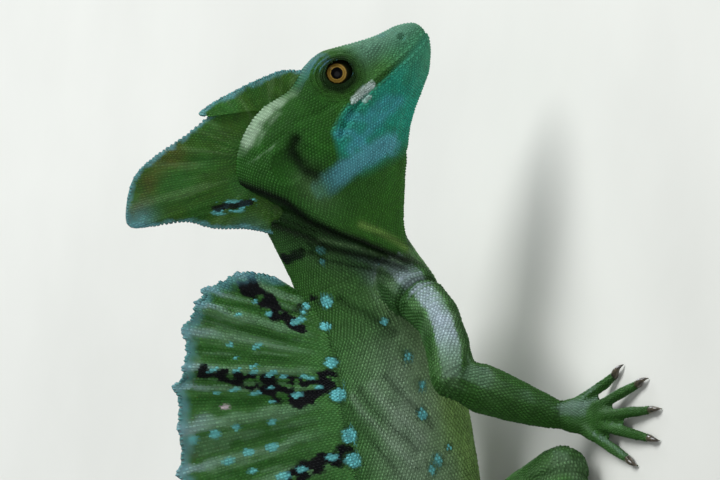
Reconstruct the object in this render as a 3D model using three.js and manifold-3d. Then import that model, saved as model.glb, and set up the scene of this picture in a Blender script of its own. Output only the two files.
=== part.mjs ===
// A green basilisk, an adult male, as a still life-size model. It stands on z = 0 with its chest
// raised on its arms and its head cocked, and its tail lies along the floor behind it.
// Millimetres. +Z is up, +X is towards the head and +Y is the animal's left.
import * as THREE from "three";
import { mergeVertices } from "three/addons/utils/BufferGeometryUtils.js";
import Module from "manifold-3d";

const wasm = await Module();
wasm.setup();

// Sizes that every piece shares
const FLOOR = 0;
const GAP = 0.3; // between nodes that touch
const CLEAR = 1.1 * GAP; // what a form grows by before others are cut clear of it
const WELD = 1e-4;

// The spine from inside the head to the tail's tip: centre x, y, z, half width, height above the
// centre, depth below it, and the roll of the back towards the left in degrees
const TRUNK = [
  [48, 3.8, 61, 11, 14, 19, 22],
  [38, 3.5, 52.5, 12, 15, 18, 20],
  [30, 3, 46.5, 13, 15.8, 16.5, 17],
  [20, 2, 40, 15.5, 18, 18.5, 14],
  [7, 1, 34.5, 16, 19, 19, 12],
  [-6, 0.5, 30.8, 16.5, 19.5, 19.2, 10],
  [-23, 0, 25.8, 16.8, 18.8, 19.4, 8],
  [-42, 0, 20.2, 16, 16.4, 18.9, 5],
  [-58, 0, 16.4, 13.8, 13.8, 16.6, 3],
  [-72, 0, 13.2, 11.2, 12, 13.2, 1],
];
const NECK_FROM = 0.1;
const TORSO_FROM = 2.55;

// The tail lies in one long S: it swings by TAIL_SWING degrees to each side over TAIL_WAVE
const TAIL_LENGTH = 452;
const TAIL_WAVE = 440;
const TAIL_SWING = 30;
const TAIL_SPAN = 28; // between two stations
const TAIL_BASE_WIDTH = 9.6;
const TAIL_BASE_HEIGHT = 10.6;
const TAIL_TIP_RADIUS = 0.8;
const TAIL_SINK = 0.45; // how far its round underside is pressed flat on the floor
const TAIL_CUTS = [0.22, 0.45, 0.7];

// The head's own frame: its origin lies between the ears, +X runs to the snout along the mouth
const HEAD_ORIGIN = new THREE.Vector3(54.2, 4, 66.7);
const HEAD_YAW = -17;
const HEAD_PITCH = -37.5;
const HEAD_ROLL = 24;

// Sections of the head from the throat fold to the snout. Each gives its top x, z and bottom x, z,
// then height shares and half widths of brow, cheek, mouth, jaw edge and throat
const HEAD = [
  [-10.5, -2, 5.5, -41, 0.93, 6, 0.7, 12.3, 0.5, 12.8, 0.36, 11.6, 0.14, 8.4],
  [-12.8, 5.4, 8.5, -36.5, 0.93, 7.5, 0.75, 13.4, 0.56, 13.6, 0.44, 12.6, 0.16, 8.6],
  [-8.5, 11, 12.5, -31, 0.94, 8, 0.77, 13.8, 0.6, 14, 0.49, 13.3, 0.17, 8.6],
  [-2, 14.4, 16, -27.5, 0.95, 8.3, 0.78, 13.6, 0.58, 13.8, 0.41, 13.2, 0.16, 8.3],
  [5.5, 15.6, 19.5, -24, 0.95, 8.2, 0.78, 13, 0.53, 13.4, 0.31, 12.4, 0.14, 7.4],
  [13, 14, 24, -20, 0.95, 7.7, 0.75, 11.8, 0.57, 12.5, 0.23, 10.8, 0.12, 6.2],
  [20, 15.4, 28.5, -16, 0.96, 8.2, 0.7, 10.4, 0.529, 11.5, 0.2, 9.4, 0.1, 5.2],
  [26.5, 15.2, 33, -12.9, 0.95, 7.9, 0.68, 9.4, 0.488, 10.5, 0.2, 8.3, 0.1, 4],
  [33, 11.9, 38.5, -10.2, 0.93, 6.2, 0.68, 7.9, 0.48, 9, 0.2, 7.2, 0.1, 3.6],
  [39.5, 8.8, 43, -7.9, 0.9, 4.8, 0.7, 6.3, 0.475, 7.1, 0.2, 5.8, 0.1, 3],
  [44.5, 7.4, 46.3, -5, 0.87, 3.7, 0.69, 4.8, 0.41, 5.1, 0.17, 4.1, 0.08, 2.3],
  [48.2, 5.2, 48.4, -2.6, 0.85, 2.3, 0.67, 3, 0.35, 3.1, 0.13, 2.4, 0.06, 1.5],
  [49.4, 3.4, 49.3, -0.6, 0.85, 1.2, 0.66, 1.6, 0.3, 1.6, 0.13, 1.2, 0.05, 0.7],
];
const HEAD_RINGS_PER_SECTION = 2;
// Places round half a section, in rails: crown 0, brow 1, cheek 2, mouth 3, jaw 4, throat 5, keel 6
const HEAD_PLACES = [0, 0.4, 0.75, 1, 1.35, 1.7, 2, 2.35, 2.65, 2.86, 3, 3.14, 3.4, 3.7, 4, 4.4, 4.8, 5.2, 5.6, 6];
const MOUTH_RAIL = 3;
const MOUTH_CORNER = 4.1; // section where the mouth ends
const MOUTH_DEPTH = 0.9;
const LIP_REACH = 0.16; // in rails, on each side of the mouth line
const LIP_SWELL = 0.35;

// Eye, nostril and ear, in the head's frame for the left side
const EYE_AT = new THREE.Vector3(24.8, 6.1, 9);
const EYE_RADIUS = 4.4;
const LID_THICKNESS = 1.1;
const EYE_AXIS = new THREE.Vector3(0.12, 1, 0.1).normalize();
const EYE_SLIT = [3.7, 3.05];
const EYE_SLIT_TILT = -22;
const NOSTRIL_AT = new THREE.Vector3(43.6, 5, 4.4);
const NOSTRIL_RADII = [1.2, 1.1, 0.8];
const EAR_AT = new THREE.Vector3(-1.4, 13.8, 1.4);
const EAR_RADIUS = 4.3;
const EAR_DEPTH = 1.3;
// Soft swellings and hollows of the side of the head: x, z, reach along, reach across, height
const HEAD_RELIEF = [
  [8.8, -3.6, 6.2, 7.5, 2.6], // jaw muscle
  [3.2, -0.5, 2.2, 6.5, -1.7], // fold ahead of the ear
  [-5.5, 6.5, 6, 6, 0.9], // temple
  [-3, -7, 4, 5, -0.8], // behind the jaw
  [16.5, 6, 3.6, 4.5, -1], // behind the eye
  [33.5, 4.6, 6, 2.4, -0.7], // ahead of the eye
];

// The two crests of the head, in the middle plane of its frame: edge and root outlines as x, z
const CASQUE_EDGE = [
  [2.4, 16.5], [-4, 21.5], [-14.5, 23.6], [-24.5, 25.2], [-31.5, 24.8], [-37.8, 20.8],
  [-40.6, 16.8], [-36.5, 13], [-29.2, 7.7], [-24.9, 1.3], [-19, -4.4], [-15.6, -9.5], [-15.5, -14],
];
const CASQUE_ROOT = [[4, 11.5], [-2, 9.5], [-6, 6.5], [-8, 1], [-8, -5], [-9, -10], [-11, -13.5]];
const FORE_CREST_EDGE = [
  [19.6, 14.2], [15.7, 18.2], [11.9, 20.1], [7.3, 21.8], [2.5, 23.2], [-3, 24.6], [-7.2, 25.1], [-7, 24.3],
];
const FORE_CREST_ROOT = [[19, 12], [14, 11.5], [9, 12.5], [5.2, 13], [4.8, 16.8], [0, 19.9], [-4, 22.6], [-6.2, 23.8]];
const HEAD_CREST_ROOT_HALF = 1.5;
const HEAD_CREST_EDGE_HALF = 0.45;

// The sail on the back, from its front to its rear: share of its length, height, forward lean
const BACK_SAIL = [
  [0, 4, 60], [0.05, 17, 55], [0.11, 26, 47], [0.19, 31.5, 34], [0.3, 35.5, 17], [0.41, 38, 2],
  [0.5, 38.5, -7], [0.65, 33, -15], [0.8, 21, -22], [0.92, 9.5, -28], [1, 3, -32],
];
const BACK_SAIL_SPAN = [1.8, 8.85]; // in stations of the trunk
const BACK_RAYS = 18;
const TAIL_SAIL = [
  [0, 3, -8], [0.1, 13, -12], [0.25, 23, -16], [0.4, 25.5, -20], [0.6, 20, -25], [0.8, 11, -32], [1, 2.5, -40],
];
const TAIL_SAIL_SPAN = [10.1, 15.9];
const TAIL_RAYS = 18;
const BACK_ROWS = [0, 0.35, 0.7, 0.92, 1]; // shares of the height
const TAIL_ROWS = [0, 0.4, 0.8, 1];
// Columns from each ray to the next: share of the way, whether on the ray, and share of a tooth
const BACK_COLUMNS = [[0, 1, 1], [0.28, 0, 0.3], [0.5, 0, -0.35], [0.72, 0, 0.3]];
const TAIL_COLUMNS = [[0, 1, 1], [0.3, 0, 0], [0.7, 0, 0]];
const SAIL_ROOT = 2.6; // how deep it starts under the skin before it is cut clear
const SAIL_TEETH = 1.3; // how far each ray's tip stands past the membrane
const MEMBRANE_HALF = [1.1, 0.36]; // at the root and at the edge
const RAY_HALF = [2, 0.62];

// Arms: shoulder, upper arm, elbow, forearm and wrist as x, y, z and radius
const ARM_RIGHT = [
  [28.5, -6.5, 39.5, 8], [26, -15, 38.2, 7.3], [19.1, -29, 35.6, 6], [12.5, -37, 36.2, 5.8], [5, -43, 36.6, 6.1],
];
const FOREARM_RIGHT = [[4.6, -43.6, 36.2, 5.7], [2.7, -45.2, 29.5, 6.5], [0.2, -47.3, 19.8, 5.6], [-2, -49.5, 10.2, 4]];
const ARM_LEFT = [[29, 7, 35, 8], [25.5, 16.5, 34, 7.6], [14.5, 29, 32.4, 6], [4.5, 39.5, 30, 6.1]];
const FOREARM_LEFT = [[4.9, 40.7, 28.4, 5.7], [7, 43.6, 23.5, 6.7], [10.5, 48.5, 16.5, 5.5], [13.5, 53.5, 9.4, 4]];
const LEG_RIGHT = [[-60, -6, 17.5, 10.5], [-46, -20, 16, 10.6], [-29.5, -38.5, 13.2, 9.2], [-16.5, -54, 8.6, 7.2]];
const SHANK_RIGHT = [[-19.5, -55.8, 8.4, 6.7], [-30, -60.5, 8.4, 7.3], [-46, -67.5, 7.6, 5.4], [-61, -73, 6.2, 4.3]];
const LEG_LEFT = [[-60, 6, 15.5, 10.5], [-49, 21, 15, 10.6], [-38, 38, 13.6, 9], [-28, 52.5, 12, 7.2]];
const SHANK_LEFT = [[-30.5, 53.8, 11.4, 6.7], [-41, 57.5, 10.6, 7.4], [-58, 63.5, 8.6, 5.4], [-74, 68, 6.4, 4.3]];

// Hands and feet: the wrist or ankle, the heading of the middle digit in degrees from +X towards
// +Y, and for each digit from the thumb its turn from that heading, length and root along the palm
const HAND = {
  palm: 9.5,
  palmHalf: [4.1, 5.4],
  palmThick: [3.6, 2.6],
  digits: [[40, 12, 0.5], [21, 20, 0.9], [5, 26, 1], [-7, 27, 0.95], [-21, 20, 0.7]],
  digitRadius: [2, 1.15],
  claw: 4,
};
const FOOT = {
  palm: 20,
  palmHalf: [4.6, 6.2],
  palmThick: [4.2, 2.9],
  digits: [[38, 11, 0.75], [20, 17, 0.93], [7, 26, 1], [-5, 35, 0.98], [-36, 19, 0.35]],
  digitRadius: [2.3, 1.25],
  claw: 4.2,
};
const HANDS = [
  { name: "hand_right", kind: HAND, root: [-2, -49.5, 10.2], heading: -87, side: 1 },
  { name: "hand_left", kind: HAND, root: [13.5, 53.5, 9.4], heading: 68, side: -1 },
  { name: "foot_right", kind: FOOT, root: [-61, -73, 6.2], heading: -50, side: 1 },
  { name: "foot_left", kind: FOOT, root: [-74, 68, 6.4], heading: 42, side: -1 },
];
const CLAW = [[0.2, 0.3, 0.85], [0.65, 0.35, 0.7], [1, -0.6, 0.28]]; // reach, rise and radius
const KNUCKLES = 1.5;
const KNUCKLE_SWELL = 0.13;
const PALM_FRONT_HEIGHT = 3; // of the palm's centre over the floor, where the digits start
const DIGIT_ARCH = 1.1;

// Facets round and along each form
const TRUNK_SIDES = 24;
const TRUNK_STEP = 6;
const TAIL_SIDES = 12;
const TAIL_STEP = 11;
const LIMB_SIDES = 12;
const LIMB_STEP = 7;
const DIGIT_SIDES = 6;
const BALL_SIDES = 16;

const SKIN = { color: 0x3f7034, roughness: 0.6, metalness: 0 };
const SAIL = { color: 0x3a6a33, roughness: 0.55, metalness: 0 };
const EYE = { color: 0x9a7a2c, roughness: 0.15, metalness: 0 };

const degrees = THREE.MathUtils.degToRad;
const clamp = THREE.MathUtils.clamp;
const lerp = THREE.MathUtils.lerp;
const UP = new THREE.Vector3(0, 0, 1);

// A smooth curve through rows of numbers that meets row i at t = i
function through(rows, t) {
  const last = rows.length - 1;
  const i = clamp(Math.floor(t), 0, last - 1);
  const f = t - i;
  const [a, b, c, d] = [-1, 0, 1, 2].map((k) => rows[clamp(i + k, 0, last)]);
  return b.map((_, n) => {
    const bend = 2 * a[n] - 5 * b[n] + 4 * c[n] - d[n];
    const twist = 3 * b[n] - a[n] - 3 * c[n] + d[n];
    return 0.5 * (2 * b[n] + f * (c[n] - a[n] + f * (bend + f * twist)));
  });
}

// The same curve where the first number of each row is where along the form it holds
function keyed(rows, at) {
  let i = 0;
  while (i < rows.length - 2 && rows[i + 1][0] < at) i++;
  const share = (at - rows[i][0]) / (rows[i + 1][0] - rows[i][0]);
  return through(rows, i + share).slice(1);
}

const point = (row) => new THREE.Vector3(row[0], row[1], row[2]);

// A closed geometry as a solid that can be joined and cut
function solid(geometry) {
  const bare = new THREE.BufferGeometry();
  bare.setAttribute("position", geometry.getAttribute("position"));
  if (geometry.index) bare.setIndex(geometry.index);
  const merged = mergeVertices(bare, WELD);
  const corners = merged.index.array;
  return new wasm.Manifold(
    new wasm.Mesh({
      numProp: 3,
      vertProperties: new Float32Array(merged.attributes.position.array),
      triVerts: new Uint32Array(corners),
    }),
  );
}

// A closed form from its points and triangles, turned so that its faces point out and, for what
// is to be cut clear of it, made thicker all over by grow
function closed(points, triangles, grow = 0) {
  let volume = 0;
  for (const [a, b, c] of triangles)
    volume += points[a].dot(new THREE.Vector3().crossVectors(points[b], points[c]));
  const facing = volume < 0 ? triangles.map(([a, b, c]) => [a, c, b]) : triangles;
  const geometry = new THREE.BufferGeometry().setFromPoints(points);
  geometry.setIndex(facing.flat());
  geometry.computeVertexNormals();
  const { position, normal } = geometry.attributes;
  for (let i = 0; i < points.length; i++) {
    const outward = new THREE.Vector3().fromBufferAttribute(normal, i);
    points[i].addScaledVector(outward, grow);
    position.setXYZ(i, ...points[i]);
  }
  return solid(geometry);
}

const middleOf = (ring) => ring.reduce((sum, p) => sum.add(p), new THREE.Vector3()).divideScalar(ring.length);

// Smaller copies of an end ring, set further out, that round off the end of a form
const ROUNDING = [[0.7, 2.3], [0.9, 1.3]]; // size share and reach of each
function rounding(ring, next) {
  const middle = middleOf(ring);
  const outward = middle.clone().sub(middleOf(next)).normalize();
  const shrunk = (p, share) => p.clone().sub(middle).multiplyScalar(share).add(middle);
  return ROUNDING.map(([share, reach]) => ring.map((p) => shrunk(p, share).addScaledVector(outward, reach)));
}

// A skin stretched over rings of points, closed with a fan at each end
function skinOver(rings, grow = 0) {
  const around = rings[0].length;
  const points = rings.flat();
  const triangles = [];
  for (let i = 0; i + 1 < rings.length; i++)
    for (let j = 0; j < around; j++) {
      const a = i * around + j;
      const b = i * around + ((j + 1) % around);
      const [c, d] = [b + around, a + around];
      if (points[a].distanceTo(points[c]) < points[b].distanceTo(points[d])) triangles.push([a, b, c], [a, c, d]);
      else triangles.push([a, b, d], [b, c, d]);
    }
  for (const end of [0, rings.length - 1]) {
    const tip = points.push(middleOf(rings[end])) - 1;
    for (let j = 0; j < around; j++) {
      const a = end * around + j;
      const b = end * around + ((j + 1) % around);
      triangles.push(end ? [a, b, tip] : [b, a, tip]);
    }
  }
  return closed(points, triangles, grow);
}

// Nothing hangs lower than the floor: what would is pressed flat on it
function onFloor(p) {
  p.z = Math.max(p.z, FLOOR);
  return p;
}

// Trunk and tail as one list of stations
function tailStations() {
  const start = TRUNK[TRUNK.length - 1];
  const stations = [];
  let [x, y] = start;
  for (let s = TAIL_SPAN / 2; s <= TAIL_LENGTH; s += TAIL_SPAN) {
    const heading = Math.PI - degrees(TAIL_SWING) * Math.sin((2 * Math.PI * (s - TAIL_SPAN / 2)) / TAIL_WAVE);
    const stride = s < TAIL_SPAN ? TAIL_SPAN / 2 : TAIL_SPAN;
    x += stride * Math.cos(heading);
    y += stride * Math.sin(heading);
    const left = 1 - s / TAIL_LENGTH;
    const taper = 0.3 * left + 0.7 * left ** 2.2;
    const width = TAIL_TIP_RADIUS + (TAIL_BASE_WIDTH - TAIL_TIP_RADIUS) * taper;
    const height = TAIL_TIP_RADIUS + (TAIL_BASE_HEIGHT - TAIL_TIP_RADIUS) * taper;
    stations.push([x, y, height - TAIL_SINK, width, height, height, 0]);
  }
  return stations;
}
const BODY = [...TRUNK, ...tailStations()];

// Position, facing and half sizes of the body at t stations from the head
function bodyAt(t) {
  const row = through(BODY, t);
  const ahead = point(through(BODY, t - 0.05)).sub(point(through(BODY, t + 0.05))).normalize();
  const level = new THREE.Vector3().crossVectors(UP, ahead).normalize();
  const upright = new THREE.Vector3().crossVectors(ahead, level);
  const roll = degrees(row[6]);
  const back = upright.clone().multiplyScalar(Math.cos(roll)).addScaledVector(level, Math.sin(roll));
  const left = level.multiplyScalar(Math.cos(roll)).addScaledVector(upright, -Math.sin(roll));
  return { centre: point(row), ahead, back, left, width: row[3], top: row[4], depth: row[5] };
}

// One section of the body: a narrow, roof-like back over a round belly
function bodyRing(t, sides) {
  const { centre, back, left, width, top, depth } = bodyAt(t);
  return Array.from({ length: sides }, (_, j) => {
    const turn = (2 * Math.PI * j) / sides;
    const [s, c] = [Math.sin(turn), Math.cos(turn)];
    const narrow = c > 0 ? 1 - 0.2 * c * c : 1;
    const across = width * s * narrow;
    const along = (c > 0 ? top : depth) * c;
    return onFloor(centre.clone().addScaledVector(left, across).addScaledVector(back, along));
  });
}

// A length of the body between two stations, with a gap left before the next length
function bodyLength(from, to, sides, step, grow = 0) {
  const reach = bodyAt(from).centre.distanceTo(bodyAt(to).centre);
  const count = Math.max(2, Math.round(reach / step));
  const rings = [];
  for (let i = 0; i <= count; i++) rings.push(bodyRing(lerp(from, to, i / count), sides));
  return skinOver(rings, grow);
}

// How many stations the gap takes up at t
const gapAt = (t) => (0.1 * GAP) / point(through(BODY, t - 0.05)).distanceTo(point(through(BODY, t + 0.05)));

// A limb's length along stations of x, y, z and radius, with round ends
function limb(rows, grow = 0, sides = LIMB_SIDES, step = LIMB_STEP, swell = () => 1) {
  const last = rows.length - 1;
  const rings = [];
  const aim = new THREE.Vector3(0, 0, 0);
  const across = new THREE.Vector3();
  function ring(t, shift, share) {
    const row = through(rows, t);
    const ahead = point(through(rows, Math.min(t + 0.02, last))).sub(point(through(rows, Math.max(t - 0.02, 0))));
    ahead.normalize();
    if (aim.lengthSq() === 0) across.crossVectors(ahead, Math.abs(ahead.z) < 0.8 ? UP : new THREE.Vector3(1, 0, 0));
    across.addScaledVector(ahead, -across.dot(ahead)).normalize();
    aim.copy(ahead);
    const over = new THREE.Vector3().crossVectors(ahead, across);
    const radius = row[3] * swell(t / last);
    const centre = point(row).addScaledVector(ahead, shift * radius);
    rings.push(
      Array.from({ length: sides }, (_, j) => {
        const turn = (2 * Math.PI * j) / sides;
        const reach = radius * share;
        return onFloor(
          centre.clone().addScaledVector(across, reach * Math.cos(turn)).addScaledVector(over, reach * Math.sin(turn)),
        );
      }),
    );
  }
  const caps = [[0.92, 0.4], [0.55, 0.84]];
  for (const [shift, share] of caps) ring(0, -shift, share);
  for (let i = 0; i < last; i++) {
    const steps = Math.max(1, Math.round(point(rows[i]).distanceTo(point(rows[i + 1])) / step));
    for (let k = 0; k < steps; k++) ring(i + k / steps, 0, 1);
  }
  ring(last, 0, 1);
  for (const [shift, share] of caps.toReversed()) ring(last, shift, share);
  return skinOver(rings, grow);
}

// The frame of the head
function headMatrix() {
  const [yaw, pitch, roll] = [HEAD_YAW, HEAD_PITCH, HEAD_ROLL].map(degrees);
  const ahead = new THREE.Vector3(
    Math.cos(pitch) * Math.cos(yaw),
    Math.cos(pitch) * Math.sin(yaw),
    Math.sin(pitch),
  );
  const level = new THREE.Vector3(-Math.sin(yaw), Math.cos(yaw), 0);
  const upright = new THREE.Vector3().crossVectors(ahead, level);
  const left = level.clone().multiplyScalar(Math.cos(roll)).addScaledVector(upright, -Math.sin(roll));
  const top = upright.clone().multiplyScalar(Math.cos(roll)).addScaledVector(level, Math.sin(roll));
  return new THREE.Matrix4().makeBasis(ahead, left, top).setPosition(HEAD_ORIGIN);
}
const IN_HEAD = headMatrix();
const headPoint = (x, y, z) => new THREE.Vector3(x, y, z).applyMatrix4(IN_HEAD);

// How far the side of the head swells at x, z
function relief(x, z) {
  const swell = ([xAt, zAt, along, across, height]) =>
    height * Math.exp(-(((x - xAt) / along) ** 2) - ((z - zAt) / across) ** 2);
  return HEAD_RELIEF.reduce((sum, row) => sum + swell(row), 0);
}

// One section of the head, its rails joined by smooth curves and its mouth line pressed in
function headRing(t, mouth) {
  const [xTop, zTop, xLow, zLow, ...shares] = through(HEAD, t);
  const rails = [[1, 0]];
  for (let k = 0; k < shares.length; k += 2) rails.push([shares[k], shares[k + 1]]);
  rails.push([0, 0]);
  const mirrored = ([share, width]) => [share, -width];
  const line = [mirrored(rails[1]), ...rails, mirrored(rails[rails.length - 2])];
  const open = mouth * clamp((t - MOUTH_CORNER) / 0.4, 0, 1);
  const half = HEAD_PLACES.map((place) => {
    const [share, width] = through(line, place + 1);
    const fromMouth = Math.abs(place - MOUTH_RAIL);
    let push = 0;
    if (fromMouth === 0) push = -MOUTH_DEPTH;
    else if (fromMouth < LIP_REACH) push = LIP_SWELL;
    const rim = place === 0 || place === rails.length - 1;
    const [x, z] = [lerp(xLow, xTop, share), lerp(zLow, zTop, share)];
    const full = Math.min(1, width / 3);
    const reach = rim ? 0 : Math.max(0.3, width + full * (relief(x, z) + open * push));
    return [x, reach, z];
  });
  const left = half.map(([x, y, z]) => headPoint(x, y, z));
  const right = half.slice(1, -1).map(([x, y, z]) => headPoint(x, -y, z));
  return [...left, ...right.toReversed()];
}

// An ellipsoid in the head's frame, on the side given by +1 for left and -1 for right
function headBall(at, radii, side, sides = BALL_SIDES) {
  const ball = new THREE.SphereGeometry(1, sides, Math.round(sides * 0.7));
  ball.scale(...radii);
  ball.translate(at.x, side * at.y, at.z);
  ball.applyMatrix4(IN_HEAD);
  return solid(ball);
}

// The head without eyes or ears; grown for cutting it has no mouth line either
function headForm(grow = 0) {
  const count = (HEAD.length - 1) * HEAD_RINGS_PER_SECTION;
  const rings = [];
  for (let k = 0; k <= count; k++) rings.push(headRing(k / HEAD_RINGS_PER_SECTION, grow ? 0 : 1));
  rings.unshift(...rounding(rings[0], rings[1]));
  return skinOver(rings, grow);
}

// What opens the lids: an oval tapered plug that points out along the eye's axis
function lidCutter(side) {
  const length = EYE_RADIUS + 3;
  const plug = new THREE.CylinderGeometry(1.22, 0.62, length, BALL_SIDES);
  plug.scale(EYE_SLIT[0], 1, EYE_SLIT[1]);
  plug.rotateY(degrees(EYE_SLIT_TILT));
  plug.translate(0, length / 2 + 0.6, 0);
  const outward = EYE_AXIS.clone();
  outward.y *= side;
  const ahead = new THREE.Vector3(1, 0, 0).addScaledVector(outward, -outward.x).normalize();
  const over = new THREE.Vector3().crossVectors(ahead, outward).normalize();
  plug.applyMatrix4(new THREE.Matrix4().makeBasis(ahead, outward, over));
  plug.translate(EYE_AT.x, side * EYE_AT.y, EYE_AT.z);
  plug.applyMatrix4(IN_HEAD);
  return solid(plug);
}

// The head with lids, eye sockets, nostrils and the cups of the ears
function makeHead() {
  let head = headForm();
  for (const side of [1, -1]) {
    const lid = EYE_RADIUS + GAP + LID_THICKNESS;
    head = head.add(headBall(EYE_AT, [lid * 1.06, lid, lid], side));
    head = head.subtract(lidCutter(side));
    head = head.subtract(headBall(EYE_AT, Array(3).fill(EYE_RADIUS + GAP), side));
    head = head.subtract(headBall(NOSTRIL_AT, NOSTRIL_RADII, side, 8));
    const bowl = (EAR_RADIUS ** 2 + EAR_DEPTH ** 2) / (2 * EAR_DEPTH);
    const cup = EAR_AT.clone();
    cup.y += bowl - EAR_DEPTH;
    head = head.subtract(headBall(cup, [bowl, bowl, bowl * 1.1], side, 20));
  }
  return head;
}

// A thin fin between a root curve and an edge curve, both faces split into triangles alike
function fin(columns, rows, at) {
  const points = [];
  const triangles = [];
  const index = (face, i, j) => (face * (columns + 1) + i) * (rows + 1) + j;
  for (const face of [1, -1])
    for (let i = 0; i <= columns; i++)
      for (let j = 0; j <= rows; j++) {
        const { place, across, half } = at(i, j);
        points.push(place.clone().addScaledVector(across, face * half));
      }
  const quad = (a, b, c, d) => triangles.push([a, b, c], [a, c, d]);
  for (let i = 0; i < columns; i++)
    for (let j = 0; j < rows; j++)
      for (const face of [0, 1]) {
        const corners = [index(face, i, j), index(face, i + 1, j), index(face, i + 1, j + 1), index(face, i, j + 1)];
        if (face) triangles.push([corners[0], corners[2], corners[1]], [corners[0], corners[3], corners[2]]);
        else quad(...corners);
      }
  for (let i = 0; i < columns; i++) {
    quad(index(0, i + 1, 0), index(0, i, 0), index(1, i, 0), index(1, i + 1, 0));
    quad(index(0, i, rows), index(0, i + 1, rows), index(1, i + 1, rows), index(1, i, rows));
  }
  for (let j = 0; j < rows; j++) {
    quad(index(0, 0, j), index(0, 0, j + 1), index(1, 0, j + 1), index(1, 0, j));
    quad(index(0, columns, j + 1), index(0, columns, j), index(1, columns, j), index(1, columns, j + 1));
  }
  return closed(points, triangles);
}

// One of the head's two crests
function headCrest(edge, root, columns, rows) {
  const across = new THREE.Vector3(0, 1, 0).transformDirection(IN_HEAD);
  return fin(columns, rows, (i, j) => {
    const [xEdge, zEdge] = through(edge, ((edge.length - 1) * i) / columns);
    const [xRoot, zRoot] = through(root, ((root.length - 1) * i) / columns);
    const out = j / rows;
    return {
      place: headPoint(lerp(xRoot, xEdge, out), 0, lerp(zRoot, zEdge, out)),
      across,
      half: lerp(HEAD_CREST_ROOT_HALF, HEAD_CREST_EDGE_HALF, out),
    };
  });
}

// A sail of bony rays along the body: each ray is a ridge, and its tip a tooth of the edge
function sail(shape, span, rays, shares, heights) {
  const columns = (rays - 1) * shares.length;
  return fin(columns, heights.length - 1, (i, j) => {
    const [offset, ray, tooth] = shares[i % shares.length];
    const share = (Math.floor(i / shares.length) + offset) / (rays - 1);
    const [height, lean] = keyed(shape, share);
    const { centre, ahead, back, left, top } = bodyAt(lerp(...span, share));
    const tilt = degrees(lean);
    const along = back.clone().multiplyScalar(Math.cos(tilt)).addScaledVector(ahead, Math.sin(tilt));
    const out = heights[j];
    const reach = -SAIL_ROOT + (height + SAIL_ROOT + tooth * SAIL_TEETH) * out;
    const half = ray ? lerp(...RAY_HALF, out) : lerp(...MEMBRANE_HALF, out);
    return {
      place: centre.clone().addScaledVector(back, top).addScaledVector(along, reach),
      across: left,
      half,
    };
  });
}

// A hand or foot: a palm, and digits with knuckles and claws, all resting on the floor
function hand({ kind, root, heading, side }) {
  const start = point(root);
  const aim = degrees(heading);
  const ahead = new THREE.Vector3(Math.cos(aim), Math.sin(aim), 0);
  const across = new THREE.Vector3(-Math.sin(aim), Math.cos(aim), 0);
  const palmAt = (share) => {
    const p = start.clone().addScaledVector(ahead, kind.palm * share);
    p.z = lerp(start.z, PALM_FRONT_HEIGHT, clamp(share * 1.15, 0, 1) ** 0.8);
    return p;
  };
  const shares = [-0.08, 0.05, 0.3, 0.6, 0.9, 1.06, 1.14];
  const ends = [0.55, 0.85, 1, 1, 1, 0.85, 0.45];
  const rings = shares.map((share, i) => {
    const centre = palmAt(share);
    const width = lerp(...kind.palmHalf, clamp(share, 0, 1)) * ends[i];
    const thick = lerp(...kind.palmThick, clamp(share, 0, 1)) * ends[i];
    const lean = clamp(1 - share, 0, 1) * clamp((start.z - PALM_FRONT_HEIGHT) / kind.palm, 0, 0.9);
    return Array.from({ length: LIMB_SIDES }, (_, j) => {
      const turn = (2 * Math.PI * j) / LIMB_SIDES;
      const lift = thick * Math.sin(turn);
      const p = centre.clone().addScaledVector(across, width * Math.cos(turn));
      p.z += lift * (1 - 0.3 * lean);
      return onFloor(p.addScaledVector(ahead, lift * lean));
    });
  });
  let made = skinOver(rings);
  kind.digits.forEach(([turn, length, at], i) => {
    const way = degrees(heading + side * turn);
    const out = new THREE.Vector3(Math.cos(way), Math.sin(way), 0);
    const spread = side * lerp(1, -1, i / (kind.digits.length - 1)) * kind.palmHalf[1] * 0.62;
    const base = palmAt(at).addScaledVector(across, spread);
    const [thick, thin] = kind.digitRadius;
    const rows = [0, 0.33, 0.66, 1].map((share) => {
      const p = base.clone().addScaledVector(out, length * share);
      const radius = lerp(thick, thin, share);
      const arch = DIGIT_ARCH * Math.sin(Math.PI * share);
      const lift = lerp(base.z, radius * 0.86, Math.min(1, share * 1.6)) + arch;
      return [p.x, p.y, lift, radius];
    });
    const tip = point(rows[3]);
    for (const [reach, rise, radius] of CLAW) {
      const p = tip.clone().addScaledVector(out, kind.claw * reach);
      rows.push([p.x, p.y, tip.z + rise, radius]);
    }
    const knuckled = (share) => {
      const along = share * (rows.length - 1) / 3;
      return along < 1 ? 1 + KNUCKLE_SWELL * Math.cos(2 * Math.PI * KNUCKLES * along) : 1;
    };
    made = made.add(limb(rows, 0, DIGIT_SIDES, length / 4, knuckled));
  });
  return made;
}

// The assembled animal, each piece cut clear of what it grows from
const TRUNK_END = TRUNK.length - 1;
const TAIL_END = BODY.length - 1;
const pieces = [];
const keep = (name, made, look) => pieces.push({ name, made, look });

const headGrown = headForm(CLEAR);
keep("head", makeHead(), SKIN);
for (const [name, side] of [["eye_left", 1], ["eye_right", -1]])
  keep(name, headBall(EYE_AT, Array(3).fill(EYE_RADIUS), side, 14), EYE);

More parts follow.
